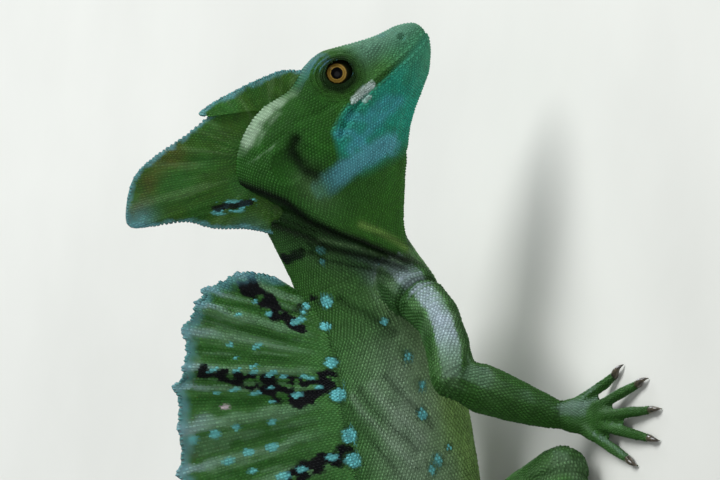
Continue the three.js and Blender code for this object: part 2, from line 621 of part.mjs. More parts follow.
const neckEnd = TORSO_FROM - gapAt(TORSO_FROM);
keep("neck", bodyLength(NECK_FROM, neckEnd, TRUNK_SIDES, TRUNK_STEP).subtract(headGrown), SKIN);
keep("torso", bodyLength(TORSO_FROM, TRUNK_END, TRUNK_SIDES, TRUNK_STEP).subtract(headGrown), SKIN);
const bodyGrown = bodyLength(NECK_FROM, TRUNK_END + 0.5, TRUNK_SIDES, TRUNK_STEP, CLEAR);
const tailGrown = bodyLength(TRUNK_END, TAIL_END - 0.2, TAIL_SIDES, TAIL_STEP, CLEAR);

const cuts = [TRUNK_END, ...TAIL_CUTS.map((share) => lerp(TRUNK_END, TAIL_END, share)), TAIL_END];
for (let i = 0; i + 1 < cuts.length; i++) {
  const from = cuts[i] + gapAt(cuts[i]);
  keep(`tail_${i + 1}`, bodyLength(from, cuts[i + 1], TAIL_SIDES, TAIL_STEP), SKIN);
}

const casque = headCrest(CASQUE_EDGE, CASQUE_ROOT, 30, 4);
keep("crest_head", casque.subtract(headGrown).subtract(bodyGrown), SAIL);
keep("crest_brow", headCrest(FORE_CREST_EDGE, FORE_CREST_ROOT, 16, 3).subtract(headGrown), SAIL);
keep("crest_back", sail(BACK_SAIL, BACK_SAIL_SPAN, BACK_RAYS, BACK_COLUMNS, BACK_ROWS).subtract(bodyGrown), SAIL);
keep("crest_tail", sail(TAIL_SAIL, TAIL_SAIL_SPAN, TAIL_RAYS, TAIL_COLUMNS, TAIL_ROWS).subtract(tailGrown), SAIL);

const limbs = [
  ["upper_arm_right", ARM_RIGHT, "forearm_right", FOREARM_RIGHT, HANDS[0]],
  ["upper_arm_left", ARM_LEFT, "forearm_left", FOREARM_LEFT, HANDS[1]],
  ["thigh_right", LEG_RIGHT, "shank_right", SHANK_RIGHT, HANDS[2]],
  ["thigh_left", LEG_LEFT, "shank_left", SHANK_LEFT, HANDS[3]],
];
for (const [upperName, upper, lowerName, lower, end] of limbs) {
  keep(upperName, limb(upper).subtract(bodyGrown).subtract(headGrown), SKIN);
  keep(lowerName, limb(lower).subtract(limb(upper, CLEAR)).subtract(bodyGrown), SKIN);
  keep(end.name, hand(end).subtract(limb(lower, CLEAR)).subtract(bodyGrown), SKIN);
}

// Only the largest closed surface of each piece is kept
function largest(made) {
  return made.decompose().reduce((best, one) => (one.volume() > best.volume() ? one : best));
}

function meshOf({ name, made, look }) {
  const { numProp, vertProperties, triVerts, numVert } = largest(made).getMesh();
  const positions = new Float32Array(numVert * 3);
  for (let i = 0; i < numVert; i++) positions.set(vertProperties.subarray(i * numProp, i * numProp + 3), i * 3);
  const geometry = new THREE.BufferGeometry();
  geometry.setAttribute("position", new THREE.BufferAttribute(positions, 3));
  geometry.setIndex(new THREE.BufferAttribute(new Uint32Array(triVerts), 1));
  geometry.computeVertexNormals();
  const mesh = new THREE.Mesh(geometry, new THREE.MeshStandardMaterial(look));
  mesh.name = name;
  return mesh;
}

const basilisk = new THREE.Group();
basilisk.add(...pieces.map(meshOf));

// The origin is the middle of the animal's footprint, on the floor
const extent = new THREE.Box3().setFromObject(basilisk);
const middle = extent.getCenter(new THREE.Vector3());
basilisk.position.set(-middle.x, -middle.y, -extent.min.z);

export default basilisk;
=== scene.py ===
import math
import bmesh
import bpy
import numpy as np
from mathutils import Matrix, Vector
from mathutils.bvhtree import BVHTree
from mathutils.kdtree import KDTree


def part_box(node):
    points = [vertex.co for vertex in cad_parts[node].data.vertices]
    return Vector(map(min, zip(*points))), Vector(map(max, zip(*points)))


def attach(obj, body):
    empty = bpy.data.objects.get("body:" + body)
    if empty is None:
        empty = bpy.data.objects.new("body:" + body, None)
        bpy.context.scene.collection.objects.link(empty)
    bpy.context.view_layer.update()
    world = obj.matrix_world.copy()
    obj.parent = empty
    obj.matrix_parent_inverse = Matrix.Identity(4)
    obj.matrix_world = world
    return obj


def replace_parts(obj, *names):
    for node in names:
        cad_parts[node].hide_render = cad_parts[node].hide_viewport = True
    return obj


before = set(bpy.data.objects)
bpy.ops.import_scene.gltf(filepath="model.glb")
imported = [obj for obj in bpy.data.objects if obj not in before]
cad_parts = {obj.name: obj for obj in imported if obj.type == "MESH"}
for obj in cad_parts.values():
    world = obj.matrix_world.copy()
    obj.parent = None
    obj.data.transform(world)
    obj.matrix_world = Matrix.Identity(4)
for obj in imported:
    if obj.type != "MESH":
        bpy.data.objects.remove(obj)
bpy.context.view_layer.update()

# Lengths are in millimetres in the animal's own frame, turned to metres of the row frame at the end
MM = 0.001
UP = np.array([0.0, 0.0, 1.0])

# The animal's sizes, as its solids have them

# Stations along the trunk: x, y, z, half width, height above, depth below, roll in degrees
TRUNK = [
    [48, 3.8, 61, 11, 14, 19, 22], [38, 3.5, 52.5, 12, 15, 18, 20], [30, 3, 46.5, 13, 15.8, 16.5, 17],
    [20, 2, 40, 15.5, 18, 18.5, 14], [7, 1, 34.5, 16, 19, 19, 12], [-6, 0.5, 30.8, 16.5, 19.5, 19.2, 10],
    [-23, 0, 25.8, 16.8, 18.8, 19.4, 8], [-42, 0, 20.2, 16, 16.4, 18.9, 5], [-58, 0, 16.4, 13.8, 13.8, 16.6, 3],
    [-72, 0, 13.2, 11.2, 12, 13.2, 1],
]
TAIL_LENGTH, TAIL_WAVE, TAIL_SWING, TAIL_STRIDE = 452, 440, math.radians(30), 28
TAIL_WIDTH, TAIL_HEIGHT, TAIL_TIP, TAIL_SINK = 9.6, 10.6, 0.8, 0.45

# Head sections: top x, z and lowest x, z, then share of the height and half width of five rails
HEAD = [
    [-10.5, -2, 5.5, -41, 0.93, 6, 0.7, 12.3, 0.5, 12.8, 0.36, 11.6, 0.14, 8.4],
    [-12.8, 5.4, 8.5, -36.5, 0.93, 7.5, 0.75, 13.4, 0.56, 13.6, 0.44, 12.6, 0.16, 8.6],
    [-8.5, 11, 12.5, -31, 0.94, 8, 0.77, 13.8, 0.6, 14, 0.49, 13.3, 0.17, 8.6],
    [-2, 14.4, 16, -27.5, 0.95, 8.3, 0.78, 13.6, 0.58, 13.8, 0.41, 13.2, 0.16, 8.3],
    [5.5, 15.6, 19.5, -24, 0.95, 8.2, 0.78, 13, 0.53, 13.4, 0.31, 12.4, 0.14, 7.4],
    [13, 14, 24, -20, 0.95, 7.7, 0.75, 11.8, 0.57, 12.5, 0.23, 10.8, 0.12, 6.2],
    [20, 15.4, 28.5, -16, 0.96, 8.2, 0.7, 10.4, 0.529, 11.5, 0.2, 9.4, 0.1, 5.2],
    [26.5, 15.2, 33, -12.9, 0.95, 7.9, 0.68, 9.4, 0.488, 10.5, 0.2, 8.3, 0.1, 4],
    [33, 11.9, 38.5, -10.2, 0.93, 6.2, 0.68, 7.9, 0.48, 9, 0.2, 7.2, 0.1, 3.6],
    [39.5, 8.8, 43, -7.9, 0.9, 4.8, 0.7, 6.3, 0.475, 7.1, 0.2, 5.8, 0.1, 3],
    [44.5, 7.4, 46.3, -5, 0.87, 3.7, 0.69, 4.8, 0.41, 5.1, 0.17, 4.1, 0.08, 2.3],
    [48.2, 5.2, 48.4, -2.6, 0.85, 2.3, 0.67, 3, 0.35, 3.1, 0.13, 2.4, 0.06, 1.5],
    [49.4, 3.4, 49.3, -0.6, 0.85, 1.2, 0.66, 1.6, 0.3, 1.6, 0.13, 1.2, 0.05, 0.7],
]
MOUTH_CORNER = 4.1  # section of the head where the mouth ends
HEAD_AT = np.array([54.2, 4.0, 66.7])
HEAD_YAW, HEAD_PITCH, HEAD_ROLL = (math.radians(a) for a in (-17, -37.5, 24))
EYE_AT = np.array([24.8, 6.1, 9.0])
EYE_RADIUS = 4.4
EYE_SLIT = (3.7, 3.05)  # half the opening of the lids, along and across
EYE_SLIT_TILT = math.radians(-22)
NOSTRIL_AT = np.array([43.6, 5.0, 4.4])
EAR_AT = np.array([-1.4, 13.8, 1.4])
EAR_RADIUS = 4.3

# The head's two crests in the middle plane of its frame: edge and root outlines as x, z
CASQUE_EDGE = [
    [4.4, 16.9], [-3.4, 22.3], [-14.5, 23.6], [-24.5, 25.2], [-31.5, 24.8], [-37.8, 20.8], [-40.6, 16.8],
    [-36.5, 13], [-29.2, 7.7], [-24.9, 1.3], [-19, -4.4], [-15.2, -9.5], [-12.6, -13.2],
]
CASQUE_ROOT = [[4, 11.5], [-2, 9.5], [-6, 6.5], [-8, 1], [-8, -5], [-9, -10], [-11, -13.5]]
BROW_CREST_EDGE = [
    [19.6, 14.2], [15.7, 18.2], [11.9, 20.1], [7.3, 21.8], [2.5, 23.2], [-3, 24.6], [-7.2, 25.1], [-7, 24.3],
]
BROW_CREST_ROOT = [
    [19, 12], [14, 11.5], [9, 12.5], [4.6, 12.5], [3.4, 15.4], [-0.6, 18.7], [-4.4, 21.6], [-6.5, 23.2],
]

# The sails of back and tail: share of the length, height, forward lean in degrees
BACK_SAIL = [
    [0, 4, 60], [0.05, 17, 55], [0.11, 26, 47], [0.19, 31.5, 34], [0.3, 35.5, 17], [0.41, 38, 2],
    [0.5, 38.5, -7], [0.65, 33, -15], [0.8, 21, -22], [0.92, 9.5, -28], [1, 3, -32],
]
TAIL_SAIL = [
    [0, 3, -8], [0.1, 13, -12], [0.25, 23, -16], [0.4, 25.5, -20], [0.6, 20, -25], [0.8, 11, -32],
    [1, 2.5, -40],
]
SAIL_RAYS = 18
SAIL_ROOT = 6  # how deep the sail is rooted in the back

# Limbs: x, y, z and radius from the root outwards
LIMBS = {
    "arm_right": ([28.5, -6.5, 39.5, 8], [26, -15, 38.2, 7.3], [19.1, -29, 35.6, 6], [12.5, -37, 36.2, 5.8],
                  [5, -43, 36.6, 6.1], [2.7, -45.2, 29.5, 6.5], [0.2, -47.3, 19.8, 5.6], [-2, -49.5, 10.2, 4]),
    "arm_left": ([29, 7, 35, 8], [25.5, 16.5, 34, 7.6], [14.5, 29, 32.4, 6], [4.5, 39.5, 30, 6.1],
                 [7, 43.6, 23.5, 6.7], [10.5, 48.5, 16.5, 5.5], [13.5, 53.5, 9.4, 4]),
    "leg_right": ([-60, -6, 17.5, 10.5], [-46, -20, 16, 10.6], [-29.5, -38.5, 13.2, 9.2],
                  [-16.5, -54, 8.6, 7.2], [-30, -60.5, 8.4, 7.3], [-46, -67.5, 7.6, 5.4], [-61, -73, 6.2, 4.3]),
    "leg_left": ([-60, 6, 15.5, 10.5], [-49, 21, 15, 10.6], [-38, 38, 13.6, 9], [-28, 52.5, 12, 7.2],
                 [-41, 57.5, 10.6, 7.4], [-58, 63.5, 8.6, 5.4], [-74, 68, 6.4, 4.3]),
}
# Hands and feet: length of the palm, half its width at both ends, radius of a digit at root and tip,
# length of the claw, and each digit's turn in degrees, length and place along the palm
HAND = dict(palm=9.5, half=(4.1, 5.4), radius=(2, 1.15), claw=4.0,
            digits=([40, 12, 0.5], [21, 20, 0.9], [5, 26, 1], [-7, 27, 0.95], [-21, 20, 0.7]))
FOOT = dict(palm=20, half=(4.6, 6.2), radius=(2.3, 1.25), claw=4.2,
            digits=([38, 11, 0.75], [20, 17, 0.93], [7, 26, 1], [-5, 35, 0.98], [-36, 19, 0.35]))
# The same, the wrist or ankle, its heading in degrees, and the side that the first digit is on
HANDS = {
    "hand_right": (HAND, (-2, -49.5, 10.2), -87, 1), "hand_left": (HAND, (13.5, 53.5, 9.4), 68, -1),
    "foot_right": (FOOT, (-61, -73, 6.2), -50, 1), "foot_left": (FOOT, (-74, 68, 6.4), 42, -1),
}
PALM_FRONT_HEIGHT = 3

FLESH = [
    "head", "neck", "torso", "tail_1", "tail_2", "tail_3", "tail_4",
    "upper_arm_right", "forearm_right", "hand_right", "upper_arm_left", "forearm_left", "hand_left",
    "thigh_right", "shank_right", "foot_right", "thigh_left", "shank_left", "foot_left",
]


# Curves, frames and noise

def tree_of(points):
    tree = KDTree(len(points))
    for k, p in enumerate(points):
        tree.insert(p, k)
    tree.balance()
    return tree


def unit(v):
    return v / np.maximum(np.linalg.norm(v, axis=-1, keepdims=True), 1e-9)


def through(rows, t):
    """The smooth curve through the rows at each t, counted in rows."""
    rows = np.asarray(rows, float)
    t = np.atleast_1d(np.asarray(t, float))
    i = np.clip(np.floor(t), 0, len(rows) - 2).astype(int)
    f = (t - i)[:, None]
    a, b, c, d = (rows[np.clip(i + k, 0, len(rows) - 1)] for k in (-1, 0, 1, 2))
    return 0.5 * (2 * b + f * (c - a + f * (2 * a - 5 * b + 4 * c - d + f * (3 * b - a - 3 * c + d))))


def keyed(rows, at):
    """The same where the first number of each row says where along the form it holds."""
    rows = np.asarray(rows, float)
    at = np.atleast_1d(np.asarray(at, float))
    i = np.clip(np.searchsorted(rows[:, 0], at) - 1, 0, len(rows) - 2)
    return through(rows, i + (at - rows[i, 0]) / (rows[i + 1, 0] - rows[i, 0]))[:, 1:]


def tail_stations():
    x, y = TRUNK[-1][:2]
    rows = []
    for s in range(TAIL_STRIDE // 2, TAIL_LENGTH + 1, TAIL_STRIDE):
        heading = math.pi - TAIL_SWING * math.sin(2 * math.pi * (s - TAIL_STRIDE / 2) / TAIL_WAVE)
        step = TAIL_STRIDE / 2 if s < TAIL_STRIDE else TAIL_STRIDE
        x, y = x + step * math.cos(heading), y + step * math.sin(heading)
        left = 1 - s / TAIL_LENGTH
        taper = 0.3 * left + 0.7 * max(left, 0) ** 2.2
        width = TAIL_TIP + (TAIL_WIDTH - TAIL_TIP) * taper
        height = TAIL_TIP + (TAIL_HEIGHT - TAIL_TIP) * taper
        rows.append([x, y, height - TAIL_SINK, width, height, height, 0])
    return rows


BODY = np.array(TRUNK + tail_stations(), float)
TRUNK_END = len(TRUNK) - 1
BODY_END = len(BODY) - 1


def body_frame(t):
    """Centre, direction of the head, back, left, half width, top and depth at each t."""
    row = through(BODY, t)
    ahead = unit(through(BODY, np.asarray(t) - 0.05)[:, :3] - through(BODY, np.asarray(t) + 0.05)[:, :3])
    level = unit(np.cross(UP, ahead))
    upright = np.cross(ahead, level)
    c, s = np.cos(np.radians(row[:, 6:])), np.sin(np.radians(row[:, 6:]))
    return row[:, :3], ahead, upright * c + level * s, level * c - upright * s, row[:, 3], row[:, 4], row[:, 5]


def head_axes():
    cp, sp, cy, sy = math.cos(HEAD_PITCH), math.sin(HEAD_PITCH), math.cos(HEAD_YAW), math.sin(HEAD_YAW)
    ahead = np.array([cp * cy, cp * sy, sp])
    level = np.array([-sy, cy, 0.0])
    upright = np.cross(ahead, level)
    c, s = math.cos(HEAD_ROLL), math.sin(HEAD_ROLL)
    # Rows: to the snout, to the left and up
    return np.array([ahead, level * c - upright * s, upright * c + level * s])


HEAD_AXES = head_axes()


def head_point(local):
    """From the head's own frame to the animal's."""
    return HEAD_AT + np.asarray(local, float) @ HEAD_AXES


def in_head(points):
    return (points - HEAD_AT) @ HEAD_AXES.T


# The row frame's place in the animal's, found from the middle of one eye
eye_low, eye_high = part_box("eye_right")
SHIFT = np.array((eye_low + eye_high) / 2) / MM - head_point([EYE_AT[0], -EYE_AT[1], EYE_AT[2]])

# The spine in fine steps, to find where on the body a point is
SPINE_T = np.arange(0, BODY_END + 0.001, 0.02)
SPINE, SPINE_AHEAD, SPINE_BACK, SPINE_LEFT = body_frame(SPINE_T)[:4]
SPINE_S = np.concatenate([[0], np.cumsum(np.linalg.norm(np.diff(SPINE, axis=0), axis=1))])
spine_tree = tree_of(SPINE)


def along_body(points):
    """For each point the way along the spine, the height along the back, and the way to the left."""
    near = np.array([spine_tree.find(p)[1] for p in points])
    off = points - SPINE[near]
    dot = lambda axes: np.einsum("ij,ij->i", off, axes[near])
    return SPINE_S[near] - dot(SPINE_AHEAD), dot(SPINE_BACK), dot(SPINE_LEFT)


CELLS = 32
LATTICE = np.random.default_rng(3).random((CELLS, CELLS, CELLS))


def mottle(points, size, seed=0):
    """Smooth noise from 0 to 1, with lumps of about that size in mm."""
    q = points / size + seed * 7.31
    i = np.floor(q).astype(int)
    f = q - i
    f = f * f * (3 - 2 * f)
    total = np.zeros(len(points))
    for corner in range(8):
        step = np.array([corner & 1, corner >> 1 & 1, corner >> 2])
        cell = (i + step) % CELLS
        total += np.prod(np.where(step, f, 1 - f), axis=1) * LATTICE[cell[:, 0], cell[:, 1], cell[:, 2]]
    return total


def drift(points, size, seed, reach=2):
    """The same noise on both sides of zero, reach from its lowest to its highest."""
    return (mottle(points, size, seed) - 0.5) * reach


def smooth(low, high, value):
    """From 0 at low to 1 at high, with a soft start and end."""
    f = np.clip((value - low) / (high - low), 0, 1)
    return f * f * (3 - 2 * f)


def off_line(x, z, line):
    """Distance of each point from a broken line, the side it is on as 1 or -1, and the share passed."""
    best = np.full(len(x), 1e9)
    side = np.ones(len(x))
    share = np.zeros(len(x))
    for k, ((ax, az), (bx, bz)) in enumerate(zip(line, line[1:])):
        dx, dz = bx - ax, bz - az
        f = np.clip(((x - ax) * dx + (z - az) * dz) / (dx * dx + dz * dz), 0, 1)
        gap = np.hypot(x - ax - f * dx, z - az - f * dz)
        nearer = gap < best
        best = np.where(nearer, gap, best)
        side = np.where(nearer, np.sign(dx * (z - az) - dz * (x - ax)), side)
        share = np.where(nearer, (k + f) / (len(line) - 1), share)
    return best, side, share


# Colours

def linear(code):
    """An sRGB hex value as linear colour."""
    c = np.array([int(code[k:k + 2], 16) for k in (1, 3, 5)]) / 255
    return np.where(c <= 0.04045, c / 12.92, ((c + 0.055) / 1.055) ** 2.4)


LEAF, MOSS, PINE, FERN = linear("#64905a"), linear("#44753a"), linear("#2f6a22"), linear("#93b482")
TEAL, STEEL, BAND, PALE = linear("#2a9a84"), linear("#78a9b4"), linear("#50a6b8"), linear("#cfe2de")
CYAN, SOOT, CREASE, ROSE = linear("#72ccd0"), linear("#06090c"), linear("#0c1c09"), linear("#d6c6cc")
OLIVE, RUST, PALE_HIGHLIGHT, LIME = linear("#38601f"), linear("#70482a"), linear("#b9c8d8"), linear("#376b1c")
ASH, MEADOW, DEEP, AZURE = linear("#a3b8a4"), linear("#8cb25c"), linear("#2a5b1e"), linear("#4a8aae")

SAIL_FOOT = 18  # height along the back from which a spot lies on the sail
TAIL_START = 118  # way along the spine
# Cyan spots of flank and sail: way along the spine, height along the back, radius
SPOTS = np.array([
    [26.6, 11.1, 1.5], [33.8, 14.4, 1.5], [45.3, 16.1, 1.5], [55.5, 16.1, 1.8], [65.8, 15.4, 1.8],
    [72.3, 15.4, 1.8], [48.2, -2.1, 1], [55.8, -4.2, 0.8], [63.2, -2.9, 1.3], [75.7, -4.7, 1.3],
    [77.6, -2.6, 1], [25, -5.1, 1.3], [12.7, 5.2, 1.3], [16.1, 6.3, 0.8], [38.1, 1, 0.8], [73.2, -8.6, 0.8],
    [28.3, 19.3, 1.5], [26.7, 17.1, 0.8], [25.9, 15.5, 0.8], [23.2, 24.7, 0.8], [18.2, 26.2, 0.8],
    [30, 31.6, 1.5], [18.6, 31.6, 1], [25.1, 37.4, 0.8], [30, 37.7, 0.8], [38.4, 39, 1.3], [29.3, 44.8, 1.3],
    [39.4, 34.2, 1], [41.6, 34.7, 1], [44, 30.8, 1.5], [46, 28.1, 1], [47.4, 23, 0.8], [48.7, 21.1, 0.8],
    [52.3, 20.2, 1], [54, 25.1, 1.3], [48.6, 31.5, 1], [49.4, 36, 1.3], [45.9, 40.9, 1], [54.8, 32.2, 1],
    [45.2, 45.6, 0.8], [60, 32.8, 1], [59.8, 42.4, 1], [60.7, 48.2, 1.3], [60.9, 54.1, 1.3],
    [65.8, 33.9, 1.3], [65.9, 40.3, 1.3], [67.2, 45.9, 1.5], [70.7, 19.9, 1.3], [72.6, 27.9, 1.3],
    [70.8, 40.3, 1], [73.5, 32.7, 1.5],
    [83.5, 15, 1.7], [92, 13.6, 1.5], [101, 12.5, 1.5], [110, 11.5, 1.3], [88, -1.5, 1.1], [97, -3, 1],
    [104, 1, 0.9], [79, 24.5, 1.3], [86, 23, 1.1], [84, 31, 1.3], [91, 26.5, 1.2], [97, 20, 1], [82, 38, 1.2],
])
ROSE_SPOT = (53.5, 44.4)
# Black bars over back and sail: half width, then the places that they pass
BARS = [
    (2.0, [(9.7, 25.2), (13.8, 25.3), (18.3, 24.1), (23.1, 22.6), (27.2, 21), (30.8, 19)]),
    (0.9, [(25, 21.5), (25.9, 17.9), (25.7, 15), (24.8, 13.7)]),
    (2.4, [(28.4, 46.6), (39.8, 43.1), (43.5, 37.5), (46.6, 33.5)]),
    (3.3, [(46.6, 33.5), (51.9, 29.5), (54.9, 25.7)]), (2.2, [(54.9, 25.7), (54.8, 21.2), (53, 18.2)]),
    (1.7, [(47.3, 27.3), (50.4, 23.8), (49.4, 18.8), (48.8, 16.8)]),
    (2.2, [(69.8, 16.8), (71.2, 18.7), (71.5, 22.8), (72.9, 26.6), (74.4, 29.5)]),
    (1.4, [(11.3, 13.7), (11.7, 10.1), (11.2, 6.6)]),
    (1.9, [(88, 15), (89.5, 20), (87, 25), (90, 30)]), (1.6, [(103, 12), (104, 17), (107, 21)]),
]
# Folds of the skin on the body: depth, half width, places; a negative depth stands up
BODY_FOLDS = [
    (0.9, 1.0, [(27.5, 8.3), (35.7, 4.1), (42.2, -0.3)]), (-0.6, 1.1, [(56.4, 13.3), (65.3, 8.6), (75.5, 1.9)]),
    (-0.6, 1.1, [(53.7, 8.8), (62.3, 3.1), (69.8, -2)]), (0.5, 0.8, [(55, 11), (64, 5.9), (72.5, 0)]),
    (0.5, 0.9, [(52, 5), (60, -0.6), (67, -5)]), (0.4, 0.8, [(59, 14.5), (69, 10.5), (79, 4.5)]),
    (0.5, 1.0, [(84, 8), (91, 3), (97, -4)]), (-0.4, 1.0, [(81, 10), (88, 5.5), (94, -1)]),
]
# Lines on the side of the head, as x and z in its own frame; the folds with depth and half width
NAPE_FOLDS = [
    (1.0, 1.25, [(-12.5, 5.1), (-10.2, 0.6), (-7.7, -4.8), (-6.5, -13), (-3.4, -20.4), (-0.5, -25.8),
                 (3.6, -35.2), (7, -43)]),
    (0.85, 0.95, [(-14.5, -6.5), (-12.1, -11), (-9.5, -16.2), (-7, -22.8), (-2.8, -28.9), (1, -34.8),
                  (5, -43)]),
    (0.5, 0.6, [(-13.5, -2), (-10.4, -10), (-7.2, -16.6)]),
    (0.45, 0.6, [(-12.8, -18), (-9.8, -24.6), (-5.4, -30.6), (-1, -37)]),
    (0.4, 0.6, [(3.2, -26.8), (6, -31), (8.6, -37)]),
]
NAPE_RIDGE = [(-7.5, -18.8), (-2.3, -26.5), (1.1, -32.5), (3.3, -36.8)]
JAW_RIDGE = [(2.6, -23), (4.9, -27.9), (6.5, -32.4), (7.6, -37)]
CHEEK_FOLD = [(5.1, 4.7), (2.6, 3.5), (1.9, 0.6), (1.5, -2.5), (2.6, -5.5)]
BLUE_BAND = [(1.5, -8.9), (7, -9.7), (13.6, -10.4), (22.2, -13.2)]
TEAL_LIMIT = [
    (7, -9), (11, -4.5), (13.2, -0.4), (17.2, 0.9), (20.7, 1.6), (28.5, 0), (34.7, -0.3), (41, 0), (49, 1),
]
TEAL_STREAKS = [
    [(13.4, -6.6), (20.8, -6.8), (31.9, -6.9)], [(14, -1.5), (17, -4.2), (16.5, -8)],
    [(19, -1), (22, -4), (30, -4.5)],
]
CHEEK_PATCH = [(23.2, 1.7), (26, 1.7), (28.8, 1.1)]
CHEEK_FLECK = [(24.9, -0.5), (26.4, -0.6)]
BROW_FURROWS = [[(9, 8), (15, 5.5), (20, 4)], [(-8, 9), (-2, 8.5), (4, 8)]]
THROAT_FURROWS = [[(14, -12), (21, -15.5), (30, -14)], [(10, -17), (17, -20), (25, -19)]]
CASQUE_RUST = [(-20, 22), (-29, 21.5), (-37, 18)]
CASQUE_STREAK = [(-21.3, 4.9), (-17.1, 1.9), (-13.7, -0.2)]

# Creases round the limbs where they bend: a place on the crease, the way across it, depth, half width, reach
LIMB_CREASES = [
    ((23.5, -20, 37), (-0.45, -0.85, -0.15), 1.0, 1.1, 11),
    ((22.8, -23, 36.6), (-0.45, -0.85, -0.15), 0.25, 0.6, 11),
    ((5.2, -42, 34), (0.1, 0.35, 1), 0.5, 0.8, 9), ((6.5, 39.5, 28), (-0.3, -0.5, 1), 0.5, 0.8, 9),
    ((-19, -53, 8.5), (0.7, 0.3, 0), 0.5, 0.8, 10), ((-30, 52, 12), (0.7, -0.3, 0), 0.5, 0.8, 10),
]


def crease_share(points, at, way, half, reach):
    """How deep each point is in a crease round a limb, from 0 to 1."""
    off = points - np.array(at)
    across = off @ unit(np.array(way)) + drift(points, 5, 52, 1.5)
    return smooth(reach, reach * 0.7, np.linalg.norm(off, axis=1)) * np.exp(-(across / half) ** 2)


def ridge(gap, half):
    """From 1 on a line to 0 away from it."""
    return np.exp(-(gap / half) ** 2)


def mix(a, b, share):
    share = np.asarray(share)[..., None]
    return a * (1 - share) + b * share


def body_ground(points):
    """Trunk, tail and sails: a dark back over a paler flank and belly, with painted shade in the folds' grooves,
    painted highlight on their ridges and mid-flank, and the head's shadow painted on the neck.
    """
    s, w, _ = along_body(points)
    wander = drift(points, 9, 1)
    tint = mix(LEAF, MOSS, smooth(4, 17, w + 3 * wander))
    nape_end = smooth(56, 38, s + 0.7 * w) * smooth(26, 16, w) * smooth(18, 28, s + w)
    tint = mix(tint, mix(DEEP, OLIVE, 0.4), 0.75 * nape_end)
    tint = mix(tint, FERN, 0.8 * smooth(4, -9, w + 3 * wander) * smooth(24, 40, s))
    # A painted highlight: a pale ash patch on the middle of the flank
    tint = mix(tint, ASH, 0.75 * np.exp(-((s - 66) / 20) ** 2 - ((w - 1 + 2 * wander) / 8) ** 2))
    tint = mix(tint, MEADOW, 0.7 * smooth(-7, -13, w + 2 * wander) * smooth(40, 55, s))
    tail = smooth(112, 150, s)
    wave = 0.5 + 0.5 * np.sin(2 * np.pi * s / 21 + 2 * wander)
    bands = smooth(0.2, 0.8, wave + 0.25 * (mottle(points, 3, 2) - 0.5))
    tint = mix(tint, mix(LEAF, SOOT, 0.55), 0.75 * tail * bands)
    tint = mix(tint, mix(MOSS, PINE, 0.5), 0.35 * mottle(points, 4, 5))
    tint = mix(tint, STEEL, 0.12 * smooth(2, 9, s) * smooth(30, 18, s) * smooth(4, -4, w))
    bent = drift(points, 7, 41, 3)
    # Painted shade along each groove of the folds, and a painted highlight along each fold that stands up
    for depth, half, line in BODY_FOLDS:
        colour, share = (CREASE, 0.35) if depth > 0 else (ASH, 0.3)
        tint = mix(tint, colour, share * ridge(off_line(s, w + bent, line)[0], half))
    # Painted shadow of the head: the neck behind it darkened
    shaded = smooth(24, 8, s + 0.9 * w) * smooth(30, 22, s)
    return mix(tint, CREASE, 0.55 * shaded)


def body_marks(points, tint):
    """Adds the black bars, the cyan spots and the one rosy spot."""
    s, w, _ = along_body(points)
    ragged = drift(points, 1.7, 3, 2.2)
    torn = drift(points, 2.6, 22, 3.2)
    dark = np.zeros(len(points))
    for half, line in BARS:
        dark = np.maximum(dark, smooth(0.4, -0.3, off_line(s, w, line)[0] + 0.5 * ragged + 0.75 * torn - half))
    dark *= smooth(0.78, 0.68, mottle(points, 1.9, 24)) * smooth(0.84, 0.74, mottle(points, 3.1, 25))
    tint = mix(tint, SOOT, dark)
    for spot_s, spot_w, radius in SPOTS:
        on_sail = spot_w > SAIL_FOOT
        wide, tall = (0.8, 1.25) if on_sail else (1.1, 1)
        gap = np.hypot((s - spot_s) / wide, (w - spot_w) / tall) + ragged * 0.35
        if not on_sail:
            tint = mix(tint, mix(MOSS, SOOT, 0.6), 0.6 * smooth(radius + 0.9, radius + 0.3, gap))
        tint = mix(tint, CYAN, (0.75 if on_sail else 0.95) * smooth(radius + 0.1, radius - 0.35, gap))
    gap = np.hypot(s - ROSE_SPOT[0], w - ROSE_SPOT[1])
    return mix(tint, ROSE, smooth(1.7, 0.6, gap))


def paint_body(points):
    return body_marks(points, body_ground(points))


def nape_wrinkles(x, z, spread=1.0):
    """Depth of the wrinkles behind the head, from 0 to 1, which also sets their painted shade."""
    total = np.zeros(len(x))
    for depth, half, line in NAPE_FOLDS:
        total = np.maximum(total, depth * ridge(off_line(x, z, line)[0], half * spread))
    return total


def nape_shade(x, z):
    """Share of painted shade on the hollow behind the jaw, as a broad band under the wrinkles."""
    gap, side, _ = off_line(x, z, NAPE_FOLDS[0][2])
    behind = gap * side
    return smooth(1.2, -0.8, behind) * smooth(-13, -5, behind)


